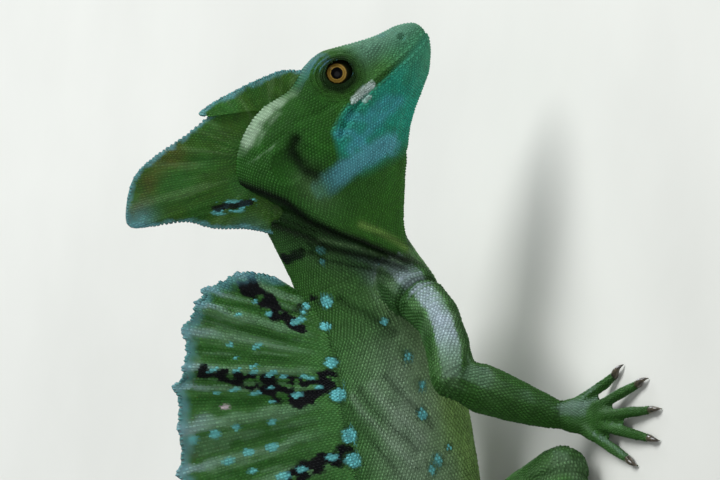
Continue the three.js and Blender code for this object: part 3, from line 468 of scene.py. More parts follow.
def paint_head(points):
    """Greens of the head, the teal jaw with its blue band, the pale patch, a painted highlight on the snout's top
    and painted shade in the fold of the cheek.
    """
    x, _, z = in_head(points).T
    wander = drift(points, 5, 4)
    fine = drift(points, 1.6, 6)
    tint = mix(DEEP, PINE, smooth(-0.4, 1.0, wander + 0.4 * fine))
    tint = mix(tint, MOSS, 0.3 * smooth(-4, -22, z + wander * 2))
    tint = mix(tint, LIME, 0.5 * smooth(-12, -26, z + wander * 2))
    tint = mix(tint, DEEP, 0.5 * smooth(24, 12, x) * smooth(-6, 4, z))
    tint = mix(tint, MOSS, 0.8 * smooth(22, 30, x) * smooth(-2, 3, z))
    tint = mix(tint, mix(LEAF, FERN, 0.5), 0.3 * np.exp(-((x - 0.3) / 3.5) ** 2 - ((z + 8) / 6) ** 2))
    limit, side, _ = off_line(x, z, TEAL_LIMIT)
    below = -limit * side + wander * 0.6
    teal = smooth(-0.9, 0.9, below) * smooth(8, 13, x) * smooth(-19, -11, z + 0.35 * (x - 20))
    tint = mix(tint, TEAL, 0.95 * teal)
    tint = mix(tint, mix(DEEP, TEAL, 0.5), 0.5 * teal * smooth(0.5, 0.7, mottle(points * [1, 1, 2], 3.2, 27)))
    for line in TEAL_STREAKS:
        tint = mix(tint, BAND, 0.6 * teal * ridge(off_line(x, z, line)[0] + 0.5 * fine, 1.4))
    gap, _, share = off_line(x, z, BLUE_BAND)
    band = smooth(3.9, 1.3, gap + 0.6 * fine) * smooth(-0.15, 0.35, share)
    tint = mix(tint, mix(BAND, STEEL, 0.3), 0.85 * band)
    tint = mix(tint, mix(TEAL, LEAF, 0.45), 0.75 * smooth(33, 45, x) * smooth(9, 4, z))
    tint = mix(tint, PALE, 0.95 * smooth(1.4, 0.7, off_line(x, z, CHEEK_PATCH)[0] + 0.3 * fine))
    tint = mix(tint, PALE, 0.5 * smooth(1.0, 0.4, off_line(x, z, CHEEK_FLECK)[0] + 0.3 * fine))
    # Painted highlight: the snout's top paler and bluer, where light from above falls
    top = smooth(3, 9, z + (x - 30) * 0.15) * smooth(26, 36, x)
    tint = mix(tint, mix(LEAF, STEEL, 0.4), 0.7 * top)
    # Painted shade in the fold of the cheek, in front of the ear
    tint = mix(tint, CREASE, 0.85 * ridge(off_line(x, z, CHEEK_FOLD)[0], 1.9))
    eye = np.hypot(x - EYE_AT[0], z - EYE_AT[2])
    tint = mix(tint, mix(OLIVE, DEEP, 0.4), 0.7 * smooth(8.5, 5, eye))
    return mix(tint, CREASE, 0.75 * smooth(5.6, 4.0, eye + 0.5 * fine))


def paint_casque(points):
    """The head's crests: dark olive, a rusty patch near the tip, blue edges and a streak."""
    x, _, z = in_head(points).T
    wander = drift(points, 5, 8)
    fine = drift(points, 1.4, 9)
    tint = mix(OLIVE, mix(MOSS, PINE, 0.6), smooth(-0.5, 0.9, wander))
    turn, reach = np.arctan2(z - 3, -x - 2), np.hypot(z - 3, x + 2)
    ridges = mottle(np.stack([turn * 26, reach * 0.12, 0 * x], 1), 1.5, 33)
    tint = mix(tint, mix(FERN, OLIVE, 0.5), 0.25 * smooth(0.55, 0.8, ridges) * smooth(8, 16, reach))
    tint = mix(tint, mix(PINE, SOOT, 0.3), 0.5 * smooth(0.45, 0.2, ridges))
    rusty = off_line(x, z, CASQUE_RUST)[0] + wander
    tint = mix(tint, RUST, 0.4 * smooth(5, 0, rusty) * (0.7 + 0.3 * fine))
    low_edge = smooth(4, -5, z + 0.32 * (x + 30) + wander) * smooth(-13, -19, x)
    tint = mix(tint, mix(STEEL, LEAF, 0.45), 0.7 * low_edge)
    tint = mix(tint, mix(STEEL, TEAL, 0.3), 0.75 * np.exp(-((x + 38) / 4) ** 2 - ((z - 15.5) / 3.2) ** 2))
    streak = off_line(x, z, CASQUE_STREAK)[0] + 0.5 * fine
    tint = mix(tint, CYAN, 0.8 * smooth(2, 1.2, streak) * (mottle(points, 1.3, 12) > 0.5))
    return mix(tint, SOOT, 0.95 * smooth(1.1, 0.6, streak))


def paint_limb(points):
    """Arms and legs: green, clouded with ash and with dark."""
    wander = drift(points, 7, 10)
    tint = mix(LEAF, MOSS, smooth(-0.7, 0.7, wander))
    tint = mix(tint, ASH, 0.3 * smooth(0.5, 0.75, mottle(points, 5.5, 12)))
    return mix(tint, mix(MOSS, SOOT, 0.4), 0.4 * smooth(0.58, 0.72, mottle(points, 4.5, 11)))


def tinted(points, region, normals):
    """Linear colour of each point of skin or coat, by the part of the body it is on, with painted highlight and
    painted shade on limbs, shoulder, head and neck.
    """
    tint = np.zeros((len(points), 3))
    s, w, _ = along_body(points)
    for kind, painter in (("head", paint_head), ("body", paint_body), ("limb", paint_limb)):
        mine = region == kind
        if mine.any():
            tint[mine] = painter(points[mine])
    limb, body, head = ((region == kind).astype(float) for kind in ("limb", "body", "head"))
    upper_arm = smooth(6, 20, points[:, 0])
    wrist = smooth(20, 8, points[:, 2])
    # How far a surface turns towards the light and the viewer, for the painted highlight and shade below
    facing = 0.48 * normals[:, 0] + 0.72 * np.abs(normals[:, 1]) + 0.49 * normals[:, 2]
    facing = facing + drift(points, 4, 17, 0.2)
    lit = smooth(0.76, 0.99, facing)
    hind = smooth(-5, -15, points[:, 0])
    # Painted shade on the sides of the limbs that turn away from the light
    tint = mix(tint, mix(DEEP, CREASE, 0.3), limb * (0.85 - 0.4 * hind) * smooth(0.92, 0.5, facing))
    # Darker on the hind legs, and towards the elbows as painted shade
    tint = mix(tint, mix(DEEP, OLIVE, 0.5), limb * np.maximum(0.5 * hind, 0.45 * smooth(15, 6, points[:, 0])))
    # Painted highlight: a pale sheen on the lit faces of the upper arms, wrists and limbs, striped along the
    # scale rows near the shoulder
    striped = 0.5 + 0.5 * np.sin(2 * math.pi * (points @ np.array([-0.3, -0.9, 0])) / 1.7)
    stripes = 1 - 0.45 * striped * smooth(20, 26, points[:, 0])
    highlight_share = 0.12 * (1 - hind) + 0.7 * upper_arm + 0.14 * wrist * (1 - hind)
    tint = mix(tint, PALE_HIGHLIGHT, limb * highlight_share * lit * stripes)
    # Painted shade in the creases where the limbs bend
    for at, way, depth, half, reach in LIMB_CREASES:
        crease = crease_share(points, at, way, 1.5 * half, reach)
        tint = mix(tint, mix(DEEP, CREASE, 0.6), 0.75 * limb * depth * crease)
    # Painted highlight on the lit top of the shoulder
    shoulder = body * smooth(36, 30, s) * smooth(2, -5, w) * smooth(12, 20, s)
    tint = mix(tint, PALE_HIGHLIGHT, 0.5 * lit * shoulder)
    x, _, z = in_head(points).T
    # Painted highlight on the head's upward faces: pale on the temple, and a blue painted reflection of the sky
    # on brow and snout
    above = smooth(0.84, 0.99, 0.5 * normals[:, 0] + 0.86 * normals[:, 2] + drift(points, 3, 18, 0.1))
    tint = mix(tint, mix(FERN, PALE, 0.3), 0.8 * head * above * smooth(16, 8, x))
    tint = mix(tint, AZURE, 0.4 * head * above * smooth(12, 24, x))
    near_neck = np.maximum(body, head) * smooth(30, 24, s) * smooth(14, 8, z) + limb * smooth(30, 26, s)
    # Painted shade: the hollow behind the jaw darkened
    tint = mix(tint, mix(PINE, CREASE, 0.75), 0.75 * near_neck * nape_shade(x, z) * (x < 12))
    # Painted highlight along the ridge between the wrinkles
    tint = mix(tint, mix(FERN, LEAF, 0.5), 0.35 * near_neck * ridge(off_line(x, z, NAPE_RIDGE)[0], 0.5))
    tint = mix(tint, MEADOW, 0.5 * near_neck * ridge(off_line(x, z, JAW_RIDGE)[0], 0.9))
    # Painted shade in the wrinkles behind the head
    return mix(tint, CREASE * 0.5, 0.95 * near_neck * nape_wrinkles(x, z))


# Meshes

def in_frame(points):
    """From millimetres in the animal's frame to metres in the row frame."""
    return (np.asarray(points) + SHIFT) * MM


def in_animal(points):
    return np.asarray(points) / MM - SHIFT


def in_scene(name, data):
    obj = bpy.data.objects.new(name, data)
    bpy.context.scene.collection.objects.link(obj)
    return obj


def piece(name, mesh, material):
    """A finished piece of the animal, which rides on its one body."""
    obj = in_scene(name, mesh)
    mesh.materials.append(material)
    mesh.shade_smooth()
    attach(obj, "root")
    return obj


def mesh_of(bm, name):
    """Ends a bmesh and gives it back as a mesh."""
    mesh = bpy.data.meshes.new(name)
    bm.to_mesh(mesh)
    bm.free()
    return mesh


def read(collection, key, width, kind=float):
    """One property of all of a mesh's elements, a row for each."""
    values = np.empty(len(collection) * width, kind)
    collection.foreach_get(key, values)
    return values.reshape(-1, width)


def vertices_of(mesh):
    return read(mesh.vertices, "co", 3)


def normals_of(mesh):
    return read(mesh.vertex_normals, "vector", 3)


def place_vertices(mesh, co):
    mesh.vertices.foreach_set("co", co.ravel())
    mesh.update()


def stain(mesh, colours):
    """Keeps one linear colour for each vertex as the attribute Tint."""
    layer = mesh.color_attributes.new("Tint", "FLOAT_COLOR", "POINT")
    layer.data.foreach_set("color", np.hstack([colours, np.ones((len(colours), 1))]).ravel())


# The solids' own surfaces, to find which part of the animal a point belongs to
solid_points, solid_faces, solid_node = [], [], []
for number, name in enumerate(FLESH):
    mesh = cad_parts[name].data
    first = len(solid_points)
    solid_points += [v.co.copy() for v in mesh.vertices]
    solid_faces += [[first + k for k in p.vertices] for p in mesh.polygons]
    solid_node += [number] * len(mesh.polygons)
solid_tree = BVHTree.FromPolygons(solid_points, solid_faces)
solid_node = np.array(solid_node)


def nodes_near(co):
    """Number in FLESH of the node nearest to each point."""
    return solid_node[[solid_tree.find_nearest(Vector(p))[2] for p in co]]


def region_of(node):
    if node == "head":
        return "head"
    return "body" if node in ("neck", "torso") or node.startswith("tail") else "limb"


REGION = np.array([region_of(n) for n in FLESH])

# The skin

BRIDGE = 0.32  # closes the gaps between the solids
VOXEL = 0.6
COAT_DEPTH = 0.3  # how far the skin lies inside the solids, under the scales
SKIN_TRIANGLES = 190000
SKIN_SHADE, SHEET_SHADE = 0.6, 0.72  # how much darker the bare hide between the scales is


def joined_flesh():
    """All nodes of flesh as one mesh, each a little fatter, so that they overlap."""
    whole = bmesh.new()
    for name in FLESH:
        part = bmesh.new()
        part.from_mesh(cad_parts[name].data)
        bmesh.ops.remove_doubles(part, verts=part.verts, dist=1e-6)
        part.normal_update()
        for v in part.verts:
            v.co += v.normal * BRIDGE * MM
        mesh = mesh_of(part, "part")
        whole.from_mesh(mesh)
        bpy.data.meshes.remove(mesh)
    return mesh_of(whole, "flesh")


def with_modifier(mesh, kind, group=None, **settings):
    """The mesh with one modifier applied, to the vertices of the group only where one is given."""
    obj = in_scene("work", mesh)
    if group is not None:
        obj.vertex_groups.new(name="soft").add([int(k) for k in np.where(group)[0]], 1.0, "REPLACE")
        settings["vertex_group"] = "soft"
    modifier = obj.modifiers.new("work", kind)
    for key, value in settings.items():
        setattr(modifier, key, value)
    made = bpy.data.meshes.new_from_object(obj.evaluated_get(bpy.context.evaluated_depsgraph_get()))
    bpy.data.objects.remove(obj)
    bpy.data.meshes.remove(mesh)
    return made


def relaxed(mesh, amount, rounds):
    """Smooths the facets away without shrinking, by each vertex's own amount."""
    co = vertices_of(mesh)
    a, b = read(mesh.edges, "vertices", 2, int).T
    size = len(co)
    count = np.maximum(np.bincount(a, minlength=size) + np.bincount(b, minlength=size), 1)
    for k in range(2 * rounds):
        total = np.stack([np.bincount(a, co[b, n], size) + np.bincount(b, co[a, n], size) for n in range(3)], 1)
        pull = 0.6 if k % 2 == 0 else -0.62  # in, then a little further out, which keeps the volume
        co = co + (total / count[:, None] - co) * (pull * amount)[:, None]
    place_vertices(mesh, co)


def mouth_line():
    """The mouth from its corner to the tip of the snout, as x and z in the head's frame."""
    row = through(HEAD, np.linspace(MOUTH_CORNER, len(HEAD) - 1, 24))
    share = row[:, 8:9]
    return row[:, 2:4] * (1 - share) + row[:, 0:2] * share


MOUTH = mouth_line()


def eye_ring(x, z):
    """How far a place on the side of the head is from the eye's middle, as a multiple of the slit."""
    dx, dz = x - EYE_AT[0], z - EYE_AT[2]
    c, s = math.cos(EYE_SLIT_TILT), math.sin(EYE_SLIT_TILT)
    return np.hypot((dx * c + dz * s) / EYE_SLIT[0], (dz * c - dx * s) / EYE_SLIT[1])


def head_carving(points):
    """How far the skin of the head rises, in mm: lips, lids, nostrils, ears, folds and wrinkles."""
    x, y, z = in_head(points).T
    rise = np.zeros(len(points))
    gap, _, share = off_line(x, z, MOUTH)
    on_side = smooth(0.4, 1.4, np.abs(y)) + smooth(44, 47, x)
    open_at = smooth(0, 0.06, share) * np.minimum(on_side, 1)
    rise -= (0.6 - 0.3 * smooth(0.1, 0.5, share)) * open_at * ridge(gap, 0.38)
    rise += 0.15 * open_at * ridge(gap - 1.25, 0.6)
    ring = eye_ring(x, z)
    near_eye = np.abs(y) > 3.5
    folds = np.cos((ring - 1.12) / 0.32 * 2 * math.pi) * smooth(0.85, 1.05, ring) * smooth(2.35, 1.9, ring)
    rise += np.where(near_eye, 0.24 * folds, 0)
    dent = np.linalg.norm(np.stack([x, np.abs(y), z], 1) - NOSTRIL_AT, axis=1)
    rise += 0.3 * ridge(dent - 1.5, 0.5) - 0.9 * ridge(dent, 0.85)
    ear = np.hypot(x - EAR_AT[0], z - EAR_AT[2]) / EAR_RADIUS
    drum = np.abs(y) > 8
    rise += np.where(drum, 0.12 * ridge(ear - 1.12, 0.2) - 0.25 * smooth(1.05, 0.7, ear), 0)
    rise -= np.where(np.abs(y) > 7, 0.9 * ridge(off_line(x, z, CHEEK_FOLD)[0], 1.1), 0)
    for line in BROW_FURROWS:
        rise -= 0.3 * ridge(off_line(x, z, line)[0], 0.7)
    for line in THROAT_FURROWS:
        rise -= 0.35 * ridge(off_line(x, z, line)[0], 0.8)
    return rise


def body_carving(points):
    """Folds of flank and nape, and the loose skin of the belly."""
    s, w, side = along_body(points)
    rise = np.zeros(len(points))
    bent = drift(points, 7, 41, 3)
    for depth, half, line in BODY_FOLDS:
        rise -= depth * ridge(off_line(s, w + bent, line)[0], half)
    x, _, z = in_head(points).T
    rise -= 1.1 * nape_wrinkles(x, z, 0.8) * smooth(30, 20, s)
    loose = mottle(np.stack([s / 2.6, w * 1.0, side], 1), 2.4, 21) - 0.5
    return rise + 0.45 * loose * smooth(6, -6, w) * smooth(TAIL_START, 100, s)


def limb_carving(points):
    """Folds round shoulder, elbows and knees, and slack skin between them."""
    rise = 0.3 * (mottle(points, 3, 51) - 0.5)
    for at, way, depth, half, reach in LIMB_CREASES:
        rise -= depth * crease_share(points, at, way, half, reach)
    return rise


def make_skin():
    """One unbroken skin: the nodes joined, smoothed, sunk under the coat, carved and thinned."""
    mesh = with_modifier(joined_flesh(), "REMESH", mode="VOXEL", voxel_size=VOXEL * MM)
    co = vertices_of(mesh)
    near = nodes_near(co)
    fine = np.isin(near, [k for k, n in enumerate(FLESH) if n[:4] in ("hand", "foot") or n == "tail_4"])
    relaxed(mesh, np.where(fine, 0.22, np.where(REGION[near] == "head", 0.8, 1.0)), 34)
    points = in_animal(vertices_of(mesh))
    normal = normals_of(mesh)
    head = REGION[near] == "head"
    body = REGION[near] == "body"
    limb = (REGION[near] == "limb") & ~fine
    rise = np.full(len(points), -BRIDGE - COAT_DEPTH)
    rise[fine] += 0.12
    for mine, carving in ((head, head_carving), (body, body_carving), (limb, limb_carving)):
        rise[mine] += carving(points[mine])
    rise += 0.12 * (mottle(points, 2.2, 31) - 0.5)
    place_vertices(mesh, in_frame(points + normal * rise[:, None]))
    triangles = sum(len(p.vertices) - 2 for p in mesh.polygons)
    if triangles > SKIN_TRIANGLES:
        mesh = with_modifier(mesh, "DECIMATE", group=~(fine | head), ratio=SKIN_TRIANGLES / triangles)
    return mesh


skin_mesh = make_skin()
skin_points = in_animal(vertices_of(skin_mesh))
skin_normals = normals_of(skin_mesh)
skin_near = nodes_near(vertices_of(skin_mesh))
stain(skin_mesh, tinted(skin_points, REGION[skin_near], skin_normals) * SKIN_SHADE)
skin_loops = [list(p.vertices) for p in skin_mesh.polygons]
skin_tree = BVHTree.FromPolygons([Vector(p) for p in skin_points], skin_loops)
skin_first = np.array([loop[0] for loop in skin_loops])

# Scales

def level_way(turn):
    """The level way at so many degrees from the animal's front."""
    return np.array([math.cos(math.radians(turn)), math.sin(math.radians(turn)), 0])


def digits_of(kind, root, heading, side):
    """The middle line of each digit, as rows of x, y, z and radius, and its way out."""
    start, ahead = np.array(root, float), level_way(heading)
    across = np.array([-ahead[1], ahead[0], 0])
    for i, (turn, length, at) in enumerate(kind["digits"]):
        out = level_way(heading + side * turn)
        base = start + ahead * kind["palm"] * at
        base[2] = start[2] + (PALM_FRONT_HEIGHT - start[2]) * min(at * 1.15, 1) ** 0.8
        base += across * side * (1 - 2 * i / (len(kind["digits"]) - 1)) * kind["half"][1] * 0.62
        rows = []
        for share in (0, 0.33, 0.66, 1):
            radius = kind["radius"][0] + (kind["radius"][1] - kind["radius"][0]) * share
            p = base + out * length * share
            p[2] = base[2] + (radius * 0.86 - base[2]) * min(1, share * 1.6) + 1.1 * math.sin(math.pi * share)
            rows.append([*p, radius])
        yield np.array(rows), out


DIGITS = {name: list(digits_of(*hand)) for name, hand in HANDS.items()}
CLAW_ROOTS = [(rows[3, :3], out) for digits in DIGITS.values() for rows, out in digits]


def skin_at(origin, way):
    """Where a ray first meets the skin: place, normal and node number, or None."""
    place, _, face, _ = skin_tree.ray_cast(Vector(origin), Vector(way))
    if face is None:
        return None
    normal = skin_normals[skin_loops[face]].sum(0)
    return np.array(place), normal / max(np.linalg.norm(normal), 1e-6), skin_near[skin_first[face]]


RAY_FROM = 22  # mm to the side of the head's middle, outside of it


def from_side(x, z, side, least):
    """Where a ray across the head meets its skin at x and z, or None where it only grazes it."""
    hit = skin_at(head_point([x, side * RAY_FROM, z]), -side * HEAD_AXES[1])
    if hit is None or FLESH[hit[2]] != "head" or hit[1] @ HEAD_AXES[1] * side < least:
        return None
    return hit


SMALL = np.array([n[:4] in ("hand", "foot") for n in FLESH])


def grain(points, near):
    """Distance between the middles of two scales, in mm."""
    region = REGION[near]
    size = np.full(len(points), 0.95)
    body = region == "body"
    if body.any():
        s, w, _ = along_body(points[body])
        trunk = 0.95 + 0.3 * smooth(-6, -14, w) - 0.12 * smooth(24, 14, s)
        size[body] = np.where(s < TAIL_START, trunk, 1.25 - 0.4 * smooth(120, 520, s))
    head = region == "head"
    if head.any():
        x, _, z = in_head(points[head]).T
        size[head] = 0.84 - 0.16 * smooth(34, 44, x) - 0.3 * smooth(2.6, 1.9, eye_ring(x, z))
    size[SMALL[near]] = 0.7
    return size


NEIGHBOURS = [(a, b, c) for a in (0, -1, 1) for b in (0, -1, 1) for c in (0, -1, 1)]


class Coat:
    """Scales that have found room: their places, normals, ways to the tail, sizes and regions."""

    CELL = 1.2

    def __init__(self):
        self.cells, self.rows = {}, []

    def cell(self, p):
        return tuple(int(math.floor(c / self.CELL)) for c in p)

    def room(self, p, reach):
        """Whether no scale lies within reach of the place."""
        i, j, k = self.cell(p)
        x, y, z = p
        limit = reach * reach
        for a, b, c in NEIGHBOURS:
            for qx, qy, qz in self.cells.get((i + a, j + b, k + c), ()):
                if (qx - x) ** 2 + (qy - y) ** 2 + (qz - z) ** 2 < limit:
                    return False
        return True

    def put(self, p, normal, way, length, width, height, near):
        self.cells.setdefault(self.cell(p), []).append(tuple(p))
        self.rows.append((*p, *normal, *way, length, width, height, near))


coat = Coat()
ROW_STEP = 0.87  # from row to row, as a share of the grain
CLOSE = 0.6  # share of the grain that two scales of the rows may come near
EMPTY = 0.8  # the same where bare skin is filled


def on_claw(p):
    return any(-0.4 < (p - root) @ out < 6 and (p - root) @ (p - root) < 30 for root, out in CLAW_ROOTS)


def bare(p, near):
    """Places that carry no scales of the rows: the eyes and the claws."""
    if REGION[near] == "head":
        x, y, z = in_head(p)
        return abs(y) > 3 and eye_ring(x, z) < 1.02
    return SMALL[near] and on_claw(p)


COARSE = np.linspace(0, 2 * math.pi, 37)  # a first round of rays, to measure a ring of the skin


def clothe(centres, ups, sides, region):
    """Staggered rows of scales round an axis, met from within, on the skin of one region."""
    arc = np.concatenate([[0], np.cumsum(np.linalg.norm(np.diff(centres, axis=0), axis=1))])
    ways = unit(np.gradient(centres, axis=0))
    at, parity, count = 0.0, 0, 0
    while at < arc[-1]:
        k = int(np.searchsorted(arc, at))
        centre, up, side, way = centres[k], ups[k], sides[k], ways[k]
        hits = [skin_at(centre, up * math.cos(a) + side * math.sin(a)) for a in COARSE]
        if any(h is None for h in hits):
            at += 0.5
            continue
        places = np.array([h[0] for h in hits])
        sizes = grain(places, np.array([h[2] for h in hits]))
        steps = np.linalg.norm(np.diff(places, axis=0), axis=1) * 2 / (sizes[1:] + sizes[:-1])
        passed = np.concatenate([[0], np.cumsum(steps)])
        if not count or abs(passed[-1] - count) > 0.07 * count + 1:
            count = max(6, round(passed[-1]))
        shares = (np.arange(count) + 0.5 * parity) / count
        for angle in np.interp(shares * passed[-1], passed, COARSE):
            hit = skin_at(centre, up * math.cos(angle) + side * math.sin(angle))
            if hit is None or REGION[hit[2]] != region or bare(hit[0], hit[2]):
                continue
            place, normal, near = hit
            size = float(np.interp(angle, COARSE, sizes))
            if coat.room(place, CLOSE * size):
                grow(place, normal, way, size, near)
        at += ROW_STEP * float(np.median(sizes))
        parity = 1 - parity


# Half length, half width and height of a scale, as shares of the grain, by the start of its node's name
SCALE_SHAPES = {
    "head": (0.52, 0.5, 0.25), "tail": (0.68, 0.5, 0.32),
    **dict.fromkeys(("neck", "torso"), (0.6, 0.5, 0.26)),
    **dict.fromkeys(("upper", "forearm", "thigh", "shank"), (0.62, 0.5, 0.3)),
    **dict.fromkeys(("hand", "foot"), (0.6, 0.52, 0.26)),
}


def grow(place, normal, way, size, near):
    """One scale of the shape that its part of the animal carries."""
    length, width, height = SCALE_SHAPES[FLESH[near].split("_")[0]]
    coat.put(place, normal, way, length * size, width * size, height * size, near)


LID_RINGS = (1.07, 1.2, 1.34, 1.49, 1.65, 1.82, 2.0, 2.2)  # in multiples of the slit
LIP_ROWS = ((1.0, 1.5), (-1.0, 1.45), (2.2, 1.25), (-2.15, 1.2))  # height over the mouth, length of a plate


def eye_and_lip_scales():
    """Rings of beads on the lids, and the larger plates along both lips."""
    c, s = math.cos(EYE_SLIT_TILT), math.sin(EYE_SLIT_TILT)
    for side in (1, -1):
        for ring in LID_RINGS:
            beads = round(2 * math.pi * ring * 3.4 / (0.5 + 0.06 * (ring - 1)))
            for k in range(beads):
                a = 2 * math.pi * (k + 0.5 * (round(ring * 10) % 2)) / beads
                dx, dz = ring * EYE_SLIT[0] * math.cos(a), ring * EYE_SLIT[1] * math.sin(a)
                hit = from_side(EYE_AT[0] + dx * c - dz * s, EYE_AT[2] + dx * s + dz * c, side, 0.15)
                way = HEAD_AXES[0] * (-math.sin(a)) + HEAD_AXES[2] * math.cos(a)
                if hit and coat.room(hit[0], 0.34):
                    coat.put(hit[0], hit[1], way, 0.28, 0.25, 0.17, hit[2])
        along = np.concatenate([[0], np.cumsum(np.hypot(*np.diff(MOUTH, axis=0).T))])
        for offset, plate in LIP_ROWS:
            for at in np.arange(1.2 + plate * 0.5 * (abs(offset) > 2), along[-1] - 0.8, plate):
                x, z = np.interp(at, along, MOUTH[:, 0]), np.interp(at, along, MOUTH[:, 1])
                hit = from_side(x, z + offset, side, 0.1)
                if hit and coat.room(hit[0], 0.8):
                    coat.put(hit[0], hit[1], -HEAD_AXES[0], plate * 0.52, 0.56, 0.22, hit[2])


def swept(rows, count):
    """An axis through rows, with two directions across it that don't twist."""
    rows = np.asarray(rows, float)
    centres = through(rows, np.linspace(0, len(rows) - 1, count))[:, :3]
    way = unit(np.gradient(centres, axis=0))
    up = np.cross(way[0], [0, 0, 1.0])
    ups = []
    for w in way:
        up = unit(up - w * (up @ w))
        ups.append(up)
    ups = np.array(ups)
    return centres, ups, np.cross(way, ups)


def clothe_all():
    """Rows of scales on every part, and then single ones on the skin that is still bare."""
    eye_and_lip_scales()
    rows = through(HEAD, np.linspace(0, len(HEAD) - 1.02, 900))
    top, low = rows[:, 0:2], rows[:, 2:4]
    middle = low * 0.45 + top * 0.55
    centres = head_point(np.stack([middle[:, 0], 0 * middle[:, 0], middle[:, 1]], 1))
    lean = unit(top - low)
    ups = np.stack([lean[:, 0], 0 * lean[:, 0], lean[:, 1]], 1) @ HEAD_AXES
    clothe(centres[::-1], ups[::-1], np.tile(HEAD_AXES[1], (len(centres), 1)), "head")
    t = np.arange(0.1, BODY_END - 0.1, 0.01)
    centres, _, backs, lefts = body_frame(t)[:4]
    clothe(centres, backs, lefts, "body")
    for rows in LIMBS.values():
        clothe(*swept([r[:3] for r in rows], 600), "limb")
    for name, (kind, root, heading, _) in HANDS.items():
        front = np.array(root) + level_way(heading) * kind["palm"]
        middle = (np.array(root) + front) / 2
        middle[2] = (root[2] + PALM_FRONT_HEIGHT * 2) / 3
        front[2] = PALM_FRONT_HEIGHT
        clothe(*swept([root, middle, front], 120), "limb")
        for rows, _ in DIGITS[name]:
            clothe(*swept(rows[:, :3], 200), "limb")
    sizes = grain(skin_points, skin_near)
    for k in np.random.default_rng(11).permutation(len(skin_points)):
        p, near = skin_points[k], skin_near[k]
        if coat.room(p, EMPTY * sizes[k]) and not bare(p, near):
            grow(p, skin_normals[k], tailward(p, near), float(sizes[k]), near)


def tailward(p, near):
    """The way that scales point on this part."""
    if REGION[near] == "head":
        return -HEAD_AXES[0]
    if REGION[near] == "body":
        return -SPINE_AHEAD[spine_tree.find(p)[1]]
    name = FLESH[near]
    if SMALL[near]:
        return level_way(HANDS[name][2])
    rows = np.array([r[:3] for r in LIMBS[("arm" if "arm" in name else "leg") + "_" + name.split("_")[-1]]])
    k = int(np.argmin(np.linalg.norm((rows[1:] + rows[:-1]) / 2 - p, axis=1)))
    return unit(rows[k + 1] - rows[k])


# One scale: a six-sided rim sunk in the skin, and a ridge of two points on top
RIM = [(math.cos(a), math.sin(a)) for a in np.radians([0, 58, 122, 180, 238, 302])]
RIM_DEPTH = 0.1
SCALE_FACES = np.array([
    (0, 1, 6), (5, 0, 6), (1, 2, 7), (1, 7, 6), (2, 3, 7), (3, 4, 7), (4, 6, 7), (4, 5, 6),
    (0, 2, 1), (0, 3, 2), (0, 4, 3), (0, 5, 4),
])
PATCH = 0.003  # how much of the OFBake map a scale takes
PIECE_TRIANGLES = 195000
# How dark each scale's rim is
RIM_SHADE = {"head": 0.62, "limbs": 0.62, "body": 0.46, "tail": 0.5, "crest": 0.6}


def scale_piece(name, rows, tints, roots, kind, keel=0.35):
    """Joined mesh of all the scales given, each with its colour and its small patch of the bake map."""
    rows = np.asarray(rows, float)
    n = len(rows)
    place, normal, way = rows[:, 0:3], unit(rows[:, 3:6]), rows[:, 6:9]
    rng = np.random.default_rng(n)
    across = unit(np.cross(normal, way))
    way = np.cross(across, normal)
    turn = rng.normal(0, 0.07, (n, 1))
    way, across = way * np.cos(turn) + across * np.sin(turn), across * np.cos(turn) - way * np.sin(turn)
    swell = rng.normal(1, 0.06, (n, 1))
    length, width, height = (rows[:, k:k + 1] * swell for k in (9, 10, 11))
    corners = [place + way * length * c + across * width * s - normal * RIM_DEPTH for c, s in RIM]
    corners.append(place + way * length * (keel + 0.12) + normal * height * (1 + 0.25 * keel))
    corners.append(place - way * length * 0.36 + normal * height * 0.85)
    co = in_frame(np.stack(corners, 1).reshape(-1, 3))
    faces = (SCALE_FACES[None] + 8 * np.arange(n)[:, None, None]).reshape(-1, 3)
    mesh = bpy.data.meshes.new(name)
    mesh.vertices.add(len(co))
    mesh.vertices.foreach_set("co", co.ravel())
    mesh.loops.add(faces.size)
    mesh.loops.foreach_set("vertex_index", faces.ravel())
    mesh.polygons.add(len(faces))
    mesh.polygons.foreach_set("loop_start", np.arange(0, faces.size, 3))
    mesh.update(calc_edges=True)
    lit = np.clip(tints * rng.normal(1, 0.1, (n, 1)), 0, 1)
    shade = np.where(np.arange(8) < len(RIM), RIM_SHADE[kind], 1.0)
    stain(mesh, (lit[:, None, :] * shade[None, :, None]).reshape(-1, 3))
    layer = mesh.uv_layers.new(name="OFBake")
    offset = np.array(RIM + [(0.3, 0), (-0.3, 0)]) * PATCH / 2
    uv = (roots[:, None, :] + offset[None]).reshape(-1, 2)
    layer.data.foreach_set("uv", uv[faces.ravel()].ravel())
    piece(name, mesh, scale_look)


def packed(along, around, strips):
    """Roots on an unwrap cut into strips: along and around are from 0 to 1."""
    edge = 0.01
    strip = np.clip((along * strips).astype(int), 0, strips - 1)
    u = edge + (along * strips - strip) * (1 - 2 * edge)
    v = (strip + edge + np.clip(around, 0, 1) * (1 - 2 * edge)) / strips
    return np.stack([u, v], 1)


# Materials

def add(tree, kind, inputs=(), stops=(), **settings):
    """Adds a node, with its settings, the stops of its colour ramp, and its inputs set or linked."""
    made = tree.nodes.new(kind)
    for key, value in settings.items():
        setattr(made, key, value)
    for _ in stops[2:]:
        made.color_ramp.elements.new(0.5)
    for number, (at, colour) in enumerate(stops):
        made.color_ramp.elements[number].position = at
        made.color_ramp.elements[number].color = colour
    for key, value in inputs:
        if isinstance(value, bpy.types.NodeSocket):
            tree.links.new(value, made.inputs[key])
        else:
            made.inputs[key].default_value = value
    return made


def rgba(code):
    return (*[float(c) for c in linear(code)], 1.0)


def grey(value):
    return (value, value, value, 1.0)


